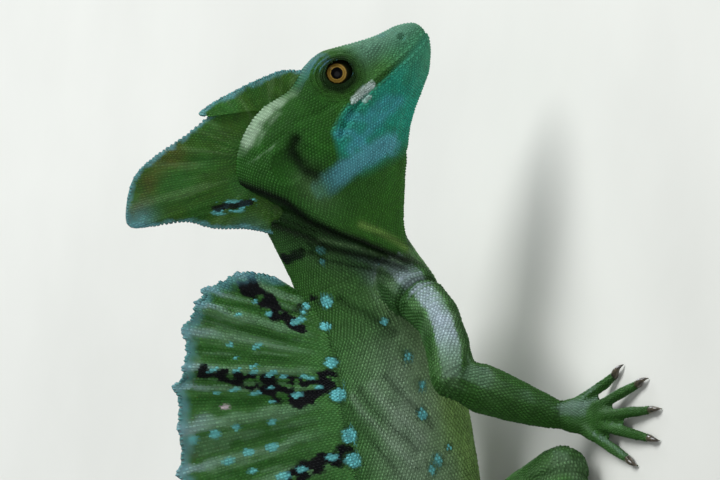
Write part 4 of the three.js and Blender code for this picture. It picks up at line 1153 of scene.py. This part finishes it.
def surface(name, **sockets):
    """A material with its principled shader, the given sockets set on it."""
    material = bpy.data.materials.new(name)
    material.use_nodes = True
    shader = material.node_tree.nodes["Principled BSDF"]
    for key, value in sockets.items():
        shader.inputs[key.replace("_", " ")].default_value = value
    return material, material.node_tree, shader


def tinted_surface(name, mottle_mm, spread, rough, bump_mm, bump, **sockets):
    """Keratin or skin in the colours that each vertex carries, unevenly worn and glossy."""
    material, tree, shader = surface(name, **sockets)
    place = add(tree, "ShaderNodeTexCoord").outputs["Object"]
    tint = add(tree, "ShaderNodeAttribute", attribute_name="Tint").outputs["Color"]
    cloud = add(tree, "ShaderNodeTexNoise",
                [("Vector", place), ("Scale", 1 / (mottle_mm * MM)), ("Detail", 3.0)])
    worn = [("Fac", cloud.outputs["Fac"])]
    shade = add(tree, "ShaderNodeValToRGB", worn, [(0.3, grey(1 - spread)), (0.7, grey(1 + spread))])
    mixed = add(tree, "ShaderNodeMix", [("Factor", 1.0), (6, tint), (7, shade.outputs["Color"])],
                data_type="RGBA", blend_type="MULTIPLY")
    tree.links.new(mixed.outputs[2], shader.inputs["Base Color"])
    gloss = add(tree, "ShaderNodeValToRGB", worn, [(0.3, grey(rough[0])), (0.7, grey(rough[1]))])
    tree.links.new(gloss.outputs["Color"], shader.inputs["Roughness"])
    grit = add(tree, "ShaderNodeTexVoronoi", [("Vector", place), ("Scale", 1 / (bump_mm * MM))])
    relief = add(tree, "ShaderNodeBump", [("Height", grit.outputs["Distance"]), ("Strength", bump),
                                          ("Distance", 0.1 * MM)], invert=True)
    tree.links.new(relief.outputs["Normal"], shader.inputs["Normal"])
    return material


# Bare skin between the scales: darker, dull and finely pebbled
skin_look = tinted_surface("lizard_skin", 3, 0.2, (0.6, 0.8), 0.35, 0.6, Specular_IOR_Level=0.1)
# Keratin scales: a faint polish that catches the light along each ridge
scale_look = tinted_surface("keratin_scales", 2.2, 0.15, (0.36, 0.52), 0.25, 0.25, Specular_IOR_Level=0.14)
# The crests' thin hide over bony rays: a little light goes through it
sail_look = tinted_surface("sail_hide", 2.5, 0.2, (0.45, 0.65), 0.5, 0.5, Subsurface_Weight=0.12,
                           Subsurface_Scale=0.002, Specular_IOR_Level=0.1)

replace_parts(piece("skin", skin_mesh, skin_look), *FLESH)


def unwrapped(kind, rows, names):
    """For each scale, how far along its part and at what angle round it the bake map has it."""
    if kind in ("body", "tail"):
        s, w, side = along_body(rows[:, :3])
        return s, np.arctan2(side, w)
    if kind == "head":
        x, y, z = in_head(rows[:, :3]).T
        return -x, np.arctan2(y, z + 4)
    along = np.zeros(len(rows))
    for number, name in enumerate(sorted(set(names))):
        own = names == name
        off = rows[own, :3] - rows[own, :3].mean(0)
        reach = off @ np.linalg.svd(off, full_matrices=False)[2][0]
        along[own] = number + 0.98 * (reach - reach.min()) / np.ptp(reach)
    return along, np.arctan2(rows[:, 5], rows[:, 3] + 0.3 * rows[:, 4])


def make_coat():
    """The scales of head, body, limbs and tail as joined pieces."""
    clothe_all()
    rows = np.array(coat.rows)
    near = rows[:, 12].astype(int)
    tints = tinted(rows[:, :3], REGION[near], rows[:, 3:6])
    names = np.array(FLESH)[near]
    is_tail = np.char.startswith(names, "tail")
    kinds = np.where(is_tail, "tail", np.where(REGION[near] == "limb", "limbs", REGION[near]))
    for kind in ("head", "body", "limbs", "tail"):
        mine = np.where(kinds == kind)[0]
        along, around = unwrapped(kind, rows[mine], names[mine])
        chunks = np.array_split(np.argsort(along), math.ceil(len(mine) * len(SCALE_FACES) / PIECE_TRIANGLES))
        for number, chunk in enumerate(chunks):
            a, own = along[chunk], mine[chunk]
            roots = packed((a - a.min()) / max(np.ptp(a), 1e-6), around[chunk] / (2 * math.pi) + 0.5, 3)
            label = f"scales_{kind}" + (f"_{number + 1}" if len(chunks) > 1 else "")
            scale_piece(label, rows[own], tints[own], roots, kind)


make_coat()

# Crests and sails

# Half the thickness at the root and at the edge
MEMBRANE_HALF = (1.0, 0.3)
RAY_HALF = (1.75, 0.5)
HEAD_CREST_HALF = (1.45, 0.42)
FILLET_DEPTH = 3  # below the back's top, where its flesh starts to run up into the sail


def sheet(name, columns, rows, surface_at, tint):
    """A closed thin sheet: a grid that runs up one side, over the edge and down the other."""
    bm = bmesh.new()
    bmesh.ops.create_grid(bm, x_segments=columns, y_segments=2 * rows, size=1)
    grid = np.array([v.co[:2] for v in bm.verts])
    share = (grid[:, 0] + 1) / 2
    turn = (grid[:, 1] + 1) * rows
    out = 1 - np.abs(turn - rows) / rows
    side = np.sign(rows - turn)
    points = surface_at(share, out, side)
    for v, p in zip(bm.verts, in_frame(points)):
        v.co = p
    bmesh.ops.remove_doubles(bm, verts=bm.verts, dist=1e-7)
    bmesh.ops.recalc_face_normals(bm, faces=bm.faces)
    mesh = mesh_of(bm, name)
    stain(mesh, tint(in_animal(vertices_of(mesh))) * SHEET_SHADE)
    return piece(name, mesh, sail_look)


def thickness(out, share, half):
    """Half the thickness: full between a buried root and a thin edge, none at the sheet's ends."""
    edge = np.sqrt(np.clip(1 - out, 0, 1) * 12 / (1 + (1 - out) * 11))
    return half * smooth(0, 0.015, out) * edge * smooth(0, 0.004, share) * smooth(1, 0.996, share)


def sail_surface(shape, span):
    """The sail's surface: bony rays with finer ones between, and an edge toothed by their tips."""
    def at(share, out, side=None):
        t = span[0] + (span[1] - span[0]) * share
        ray = share * (SAIL_RAYS - 1)
        phase = ray - np.round(ray)
        strong = np.where(np.round(ray) % 2 == 0, 1.0, 0.72)
        bone = strong * ridge(phase, 0.13) + 0.3 * ridge(np.abs(phase) - 0.5, 0.09)
        tooth = 2.4 * np.exp(-(np.abs(phase) / 0.2) ** 1.3) * strong ** 3 - 0.8
        fine = 0.45 * np.abs(np.sin(ray * math.pi * 3.5))
        height, lean = keyed(shape, share).T
        centre, ahead, back, left, wide, top, _ = body_frame(t)
        tilt = np.radians(lean + 1.6 * np.sin(ray * 2.3) * out)[:, None]
        along = back * np.cos(tilt) + ahead * np.sin(tilt)
        low = (1 - out) * -SAIL_ROOT
        reach = low + (height + (tooth + fine) * smooth(0.5, 1, out)) * out
        tall = np.clip(height / 25, 0, 1)
        pleat = 0.85 * np.cos(math.pi * ray) * smooth(0.05, 0.8, out) * tall
        sway = 0.7 * np.sin(ray * 0.9 + 0.7) * out ** 1.5 * tall + pleat
        middle = centre + back * top[:, None] + along * reach[:, None] + left * sway[:, None]
        if side is None:
            return middle, along, left
        half = MEMBRANE_HALF[0] + (MEMBRANE_HALF[1] - MEMBRANE_HALF[0]) * out
        rib = RAY_HALF[0] + (RAY_HALF[1] - RAY_HALF[0]) * out - half
        half = half + rib * bone
        # The fillet: at the back's top the sail is as wide as the flesh, and above it thins out
        dip = reach * np.cos(tilt[:, 0]) + FILLET_DEPTH
        flesh_top = np.maximum(top, 2 * FILLET_DEPTH)
        low_share = 1 - FILLET_DEPTH / flesh_top
        flesh = np.sqrt(1 - low_share ** 2)
        swell = (0.985 * wide * flesh - half) * tall ** 0.5
        slope = wide * low_share / flesh_top / flesh
        half = half + swell * np.exp(-np.maximum(dip, 0) * slope / np.maximum(swell, 0.5))
        return middle + left * (side * thickness(out, share, half))[:, None]
    return at


def crest_surface(edge, root):
    """A crest of the head in its middle plane, with faint growth ridges."""
    def at(share, out, side=None):
        rim = through(edge, (len(edge) - 1) * share)
        base = through(root, (len(root) - 1) * share)
        flat = base + (rim - base) * out[:, None]
        sway = 0.5 * np.sin(share * 9 + 1) * out ** 2
        middle = head_point(np.stack([flat[:, 0], sway, flat[:, 1]], 1))
        along = unit(rim - base)
        along = np.stack([along[:, 0], 0 * along[:, 0], along[:, 1]], 1) @ HEAD_AXES
        across = np.tile(HEAD_AXES[1], (len(share), 1))
        if side is None:
            return middle, along, across
        thick, thin = HEAD_CREST_HALF
        half = thick + (thin - thick) * out + 0.14 * np.sin(share * 62) * smooth(0.1, 0.6, out)
        return middle + across * (side * thickness(out, share, half))[:, None]
    return at


def edged(painter, blue_mm, surface_at):
    """The painter's colours with a steel-blue band along the sheet's free edge."""
    tree = tree_of(surface_at(np.linspace(0, 1, 400), np.ones(400))[0])

    def tint(points):
        gap = np.array([tree.find(p)[2] for p in points]) + drift(points, 1.5, 14, 1.4)
        blue = mix(STEEL, BAND, 0.35) * (0.85 + 0.3 * mottle(points, 0.9, 15))[:, None]
        return mix(painter(points), blue, 0.6 * smooth(blue_mm, blue_mm * 0.2, gap))
    return tint


def sail_paint(surface_at):
    """Sail colours: the body's, with a painted highlight on each ray and painted shade in the folds between."""
    share, out = (g.ravel() for g in np.meshgrid(np.linspace(0, 1, 600), np.linspace(0, 1, 40)))
    tree = tree_of(surface_at(share, out)[0])

    def tint(points):
        near = np.array([tree.find(p)[1] for p in points])
        ray, up = share[near] * (SAIL_RAYS - 1), out[near]
        tall = smooth(0.1, 0.4, up)
        streak = mottle(np.stack([ray * 9, up * 4 + mottle(points, 3, 20), 0 * ray], 1), 1.2, 16)
        fold = 0.5 + 0.5 * np.cos(2 * math.pi * (ray + 0.24 * (mottle(points, 4, 19) - 0.5)))
        dark = 0.6 * smooth(0.45, 0.05, fold) + 0.3 * smooth(0.55, 0.8, streak)
        pale = 0.4 * smooth(0.6, 1.0, fold) + 0.2 * smooth(0.45, 0.2, streak)
        # Painted shade in the folds between the rays and painted highlight on the rays, both broken by streaks
        base = mix(body_ground(points), mix(PINE, SOOT, 0.35), tall * dark)
        base = mix(base, mix(FERN, BAND, 0.2), tall * pale)
        # Painted highlight on the ray tips near the edge
        base = mix(base, mix(STEEL, PALE_HIGHLIGHT, 0.5), 0.5 * smooth(0.7, 0.95, up) * smooth(0.7, 1.0, fold))
        return body_marks(points, base)
    return tint


FRINGE_AT = 0.985  # share of the height where the scales of the edge stand
STATIONS = 200
NUDGE = 1e-3


def sheet_rows(surface_at, columns, step, root_out):
    """Places, normals and ways of staggered scales on both faces of a sheet."""
    for number, share in enumerate((np.arange(columns) + 0.5) / columns):
        top = surface_at(np.array([share]), np.array([1.0]))[0][0]
        low = surface_at(np.array([share]), np.array([root_out]))[0][0]
        count = int(np.linalg.norm(top - low) / step)
        if count < 1:
            continue
        outs = root_out + (1 - root_out) * (np.arange(count) + 0.5 * (number % 2) + 0.25) / count
        outs = outs[outs < FRINGE_AT]
        for side in (1.0, -1.0):
            one = np.ones(len(outs))
            p = surface_at(share * one, outs, side * one)
            q = surface_at(np.clip(share + NUDGE, 0, 1) * one, outs, side * one)
            r = surface_at(share * one, np.clip(outs + NUDGE, 0, 1), side * one)
            _, along, left = surface_at(share * one, outs)
            normal = unit(np.cross(q - p, r - p))
            normal *= np.sign(np.einsum("ij,ij->i", normal, left * side))[:, None]
            yield from zip(p, normal, along)


def coat_sheet(name, surface_at, tint, columns, step, height, root_out, fringe):
    """Flat scales in rows along the sheet, on both faces, and pointed ones along its edge."""
    found = Coat()
    for place, normal, way in sheet_rows(surface_at, columns, step, root_out):
        if found.room(place, 0.62 * step):
            found.put(place, normal, way, 0.595 * step, 0.483 * step, height, 0)
    shares = np.linspace(0.01, 0.99, int(columns * 0.9))
    for k, (p, way, left) in enumerate(zip(*surface_at(shares, np.full(len(shares), FRINGE_AT)))):
        tall = fringe * (0.8 + 0.4 * ((k * 7) % 3) / 2)
        found.rows += [(*p, *left, *way, tall, 0.5, 0.28, 0), (*p, *(-left), *way, tall, 0.5, 0.28, 0)]
    made = np.array(found.rows)
    shares = np.linspace(0, 1, STATIONS)
    middle, _, left = surface_at(shares, np.full(STATIONS, 0.5))
    nearest = np.array([int(np.argmin(((middle - p) ** 2).sum(1))) for p in made[:, :3]])
    reach = np.linalg.norm(made[:, :3] - surface_at(shares, np.zeros(STATIONS))[0][nearest], axis=1)
    face = np.where(np.einsum("ij,ij->i", made[:, 3:6], left[nearest]) > 0, 1, -1)
    roots = packed((nearest + 0.5) / STATIONS, 0.5 + face * 0.48 * reach / reach.max(), 2)
    scale_piece(name, made, tint(made[:, :3]), roots, "crest", keel=0.5)


BACK = sail_surface(BACK_SAIL, (1.8, 8.85))  # stations of the body from and to which it stands
TAIL = sail_surface(TAIL_SAIL, (10.1, 15.9))
CASQUE = crest_surface(CASQUE_EDGE, CASQUE_ROOT)
BROW_CREST = crest_surface(BROW_CREST_EDGE, BROW_CREST_ROOT)
# Name, node that it replaces, surface, painter, columns and rows of its grid, width of the blue edge; then of
# its scales: columns, distance, height, share of the sheet's height where they start, length of those on the edge
SHEETS = [
    ("sail_back", "crest_back", BACK, sail_paint(BACK), 300, 46, 3.6, 190, 0.98, 0.15, 0.03, 0.8),
    ("sail_tail", "crest_tail", TAIL, sail_paint(TAIL), 300, 30, 2.6, 165, 1.0, 0.15, 0.05, 0.8),
    ("casque", "crest_head", CASQUE, paint_casque, 150, 36, 1.3, 110, 0.85, 0.12, 0.08, 0.5),
    ("brow_crest", "crest_brow", BROW_CREST, paint_casque, 90, 20, 1.5, 60, 0.75, 0.11, 0.08, 0.5),
]
for name, node, at, painter, columns, rows_up, blue, scale_columns, *scale_sizes in SHEETS:
    paint = edged(painter, blue, at)
    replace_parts(sheet(name, columns, rows_up, at, paint), node)
    coat_sheet("scales_" + name, at, paint, scale_columns, *scale_sizes)

# Eyes

PUPIL, IRIS, WHITE = 1.5, 2.6, 3.2  # radii along the eyeball, in mm from its middle
GAZE = np.array([-0.05, 1.0, 0.13])  # the way that the pupil looks
IRIS_SPAN = 5.0  # mm of the arc that the colour ramp covers
FLECKS = 0.25  # how far, in mm, the iris's noise shifts its rings out on average


def eyeball(side):
    """A ball with a domed cornea, its pole at the pupil, and the arc from the pole kept in Rings."""
    bm = bmesh.new()
    bmesh.ops.create_uvsphere(bm, u_segments=64, v_segments=64, radius=EYE_RADIUS * 0.985)
    for v in bm.verts:
        polar = math.acos(max(-1, min(1, v.co.z / v.co.length)))
        v.co *= 1 + 0.05 * max(0, 1 - (polar / math.radians(42)) ** 2)
    co = np.array([v.co for v in bm.verts])
    arc = np.arccos(np.clip(co[:, 2] / np.linalg.norm(co, axis=1), -1, 1)) * EYE_RADIUS
    turn = np.arctan2(co[:, 1], co[:, 0])
    pole = unit(GAZE * [1, side, 1]) @ HEAD_AXES
    first = unit(np.cross(pole, HEAD_AXES[2]))
    axes = np.array([first, np.cross(pole, first), pole])
    centre = head_point(EYE_AT * [1, side, 1])
    for v, p in zip(bm.verts, in_frame(centre + co @ axes)):
        v.co = p
    mesh = mesh_of(bm, "eyeball")
    # Height towards the top of the head, which sets the painted shadow of the upper lid
    lid = unit(co @ axes) @ (HEAD_AXES[2] * 0.9 + HEAD_AXES[0] * 0.3)
    for label, values in (("Rings", arc), ("Spokes", turn), ("LidShade", lid)):
        mesh.attributes.new(label, "FLOAT", "POINT").data.foreach_set("value", values)
    return mesh


def eye_surface():
    """A wet eye: black pupil, gold iris with a bright rim inside and out, and the upper lid's shadow painted over
    its top.
    """
    material, tree, shader = surface("wet_eye", Roughness=0.3, Coat_Weight=0.1, Coat_Roughness=0.02,
                                     Specular_IOR_Level=0.03)
    rings = add(tree, "ShaderNodeAttribute", attribute_name="Rings").outputs["Fac"]
    spokes = add(tree, "ShaderNodeAttribute", attribute_name="Spokes").outputs["Fac"]
    spread = add(tree, "ShaderNodeCombineXYZ", [("X", rings), ("Y", spokes)])
    flecks = add(tree, "ShaderNodeTexNoise", [("Vector", spread.outputs[0]), ("Scale", 4.0), ("Detail", 4.0)])
    jitter = add(tree, "ShaderNodeMath", [(0, flecks.outputs["Fac"]), (1, 2 * FLECKS), (2, rings)],
                 operation="MULTIPLY_ADD")
    share = add(tree, "ShaderNodeMath", [(0, jitter.outputs[0]), (1, IRIS_SPAN)], operation="DIVIDE")
    black, gold, amber, brown, murk = (rgba(c) for c in ("#030303", "#9c8039", "#765a24", "#2e240f", "#141a0a"))
    circles = [(PUPIL, black), (PUPIL + 0.1, gold), (PUPIL + 0.45, amber), (IRIS - 0.15, gold),
               (IRIS + 0.1, brown), (WHITE, murk)]
    iris = add(tree, "ShaderNodeValToRGB", [("Fac", share.outputs[0])],
               [((radius + FLECKS) / IRIS_SPAN, colour) for radius, colour in circles])
    lid = add(tree, "ShaderNodeAttribute", attribute_name="LidShade").outputs["Fac"]
    # Painted shadow of the upper lid on the eye's top
    shade = add(tree, "ShaderNodeValToRGB", [("Fac", lid)], [(0.25, grey(1.0)), (0.6, grey(0.4))])
    shaded = add(tree, "ShaderNodeMix",
                 [("Factor", 1.0), (6, iris.outputs["Color"]), (7, shade.outputs["Color"])],
                 data_type="RGBA", blend_type="MULTIPLY")
    tree.links.new(shaded.outputs[2], shader.inputs["Base Color"])
    return material


eye_look = eye_surface()
for label, side in (("left", 1), ("right", -1)):
    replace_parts(piece(f"eyeball_{label}", eyeball(side), eye_look), f"eye_{label}")

# Claws

# Rings of a claw: share of its length, rise in mm, radius in mm; the first is set back into the digit
CLAW_RINGS = [(-0.9, 0.05, 1.0), (0, 0.1, 1.02), (0.18, 0.28, 0.96), (0.4, 0.4, 0.8), (0.62, 0.35, 0.6),
              (0.82, 0.05, 0.38), (1.0, -0.45, 0.09)]


def claws():
    """A curved claw on each digit: a ring of points drawn out, bent down and narrowed to its tip."""
    bm = bmesh.new()
    for name, digits in DIGITS.items():
        length = HANDS[name][0]["claw"]
        for rows, out in digits:
            tip = rows[3, :3]
            side = np.cross(UP, out)
            turn = Matrix((side, UP, out)).transposed()
            circle = bmesh.ops.create_circle(bm, segments=10, radius=CLAW_RINGS[0][2] * MM, cap_ends=True)
            verts = circle["verts"]
            bmesh.ops.transform(bm, verts=verts, matrix=turn.to_4x4())
            spots = [in_frame(tip + out * reach * (length if reach > 0 else 1) + UP * rise)
                     for reach, rise, _ in CLAW_RINGS]
            bmesh.ops.translate(bm, verts=verts, vec=Vector(spots[0]))
            edges = list({e for v in verts for e in v.link_edges if all(o in verts for o in e.verts)})
            for k in range(1, len(CLAW_RINGS)):
                grown = bmesh.ops.extrude_edge_only(bm, edges=edges)["geom"]
                verts = [g for g in grown if isinstance(g, bmesh.types.BMVert)]
                rims = (g for g in grown if isinstance(g, bmesh.types.BMEdge))
                edges = [e for e in rims if all(v in verts for v in e.verts)]
                scale = CLAW_RINGS[k][2] / CLAW_RINGS[k - 1][2]
                bmesh.ops.translate(bm, verts=verts, vec=Vector(spots[k] - spots[k - 1]))
                bmesh.ops.scale(bm, verts=verts, vec=(scale,) * 3, space=Matrix.Translation(-Vector(spots[k])))
            bmesh.ops.contextual_create(bm, geom=edges)
    bmesh.ops.recalc_face_normals(bm, faces=bm.faces)
    return mesh_of(bm, "claws")


def horn_surface():
    """Claw horn: dark brown-grey, clouded and lightly ridged, polished by use."""
    material, tree, shader = surface("claw_horn", Roughness=0.3, Coat_Weight=0.3, Coat_Roughness=0.15)
    place = add(tree, "ShaderNodeTexCoord").outputs["Object"]
    cloud = add(tree, "ShaderNodeTexNoise", [("Vector", place), ("Scale", 900.0), ("Detail", 3.0)])
    streaks = add(tree, "ShaderNodeValToRGB", [("Fac", cloud.outputs["Fac"])],
                  [(0.35, rgba("#1d1a14")), (0.7, rgba("#5a5140"))])
    tree.links.new(streaks.outputs["Color"], shader.inputs["Base Color"])
    relief = add(tree, "ShaderNodeBump", [("Height", cloud.outputs["Fac"]), ("Strength", 0.3),
                                          ("Distance", 0.1 * MM)])
    tree.links.new(relief.outputs["Normal"], shader.inputs["Normal"])
    return material


piece("claws", claws(), horn_surface())

# Floor, lights and camera

IMAGE_WIDTH = 720
PIXELS_PER_MM = 3.9
CAMERA_RISE, CAMERA_TILT = math.radians(26), math.radians(6)
CAMERA_FAR = 2500  # mm from the middle of the picture
NEAR_SIDE = 30  # mm that the visible side lies nearer than that
VIEW = np.array([0, math.cos(CAMERA_RISE), -math.sin(CAMERA_RISE)])
SLOPE = np.array([0, -math.sin(CAMERA_RISE), -math.cos(CAMERA_RISE)])
RIGHT = SLOPE * math.cos(CAMERA_TILT) + np.array([math.sin(CAMERA_TILT), 0, 0])
ABOVE = np.array([math.cos(CAMERA_TILT), 0, 0]) - SLOPE * math.sin(CAMERA_TILT)
AIM = -37.18 * RIGHT + 41.03 * ABOVE  # what lies in the middle of the picture, from the animal's origin
LIT_PLACE = Vector((0.2, 0, 0.05))  # where the lamps point


def floor():
    """A plain pale floor, a little clouded, so that it isn't one flat tone."""
    bm = bmesh.new()
    bmesh.ops.create_grid(bm, x_segments=1, y_segments=1, size=4)
    mesh = mesh_of(bm, "floor")
    obj = in_scene("floor", mesh)
    material, tree, shader = surface("matte_floor", Roughness=0.85)
    place = add(tree, "ShaderNodeTexCoord").outputs["Object"]
    cloud = add(tree, "ShaderNodeTexNoise", [("Vector", place), ("Scale", 14.0), ("Detail", 5.0)])
    pale = add(tree, "ShaderNodeValToRGB", [("Fac", cloud.outputs["Fac"])],
               [(0.3, rgba("#cfcfc8")), (0.7, rgba("#d6d6cf"))])
    tree.links.new(pale.outputs["Color"], shader.inputs["Base Color"])
    mesh.materials.append(material)


def lamp(name, place, size, power, colour=(1, 1, 1)):
    data = bpy.data.lights.new(name, "AREA")
    data.shape, data.size, data.energy, data.color = "DISK", size, power, colour
    obj = in_scene(name, data)
    obj.location = place
    obj.rotation_euler = (LIT_PLACE - Vector(place)).to_track_quat("-Z", "Y").to_euler()


floor()
lamp("key", (1.15, 0.25, 1.35), 1.0, 30, (0.96, 0.98, 1.0))
lamp("fill", (0.1, -1.7, 0.8), 1.4, 11)
lamp("back", (0.9, 1.3, 0.5), 0.6, 9, (0.9, 0.94, 1.0))
world = bpy.data.worlds.new("soft_room")
world.use_nodes = True
world.node_tree.nodes["Background"].inputs["Color"].default_value = (0.85, 0.9, 0.95, 1)
world.node_tree.nodes["Background"].inputs["Strength"].default_value = 0.26
bpy.context.scene.world = world

camera_data = bpy.data.cameras.new("camera")
camera_data.sensor_width = 36
camera_data.lens = camera_data.sensor_width * (CAMERA_FAR - NEAR_SIDE) / (IMAGE_WIDTH / PIXELS_PER_MM)
camera_data.clip_end = 20
camera = in_scene("camera", camera_data)
turn = Matrix((RIGHT, ABOVE, -VIEW)).transposed().to_4x4()
camera.matrix_world = Matrix.Translation(Vector(in_frame(AIM - VIEW * CAMERA_FAR))) @ turn
bpy.context.scene.camera = camera
bpy.context.scene.view_settings.view_transform = "Standard"
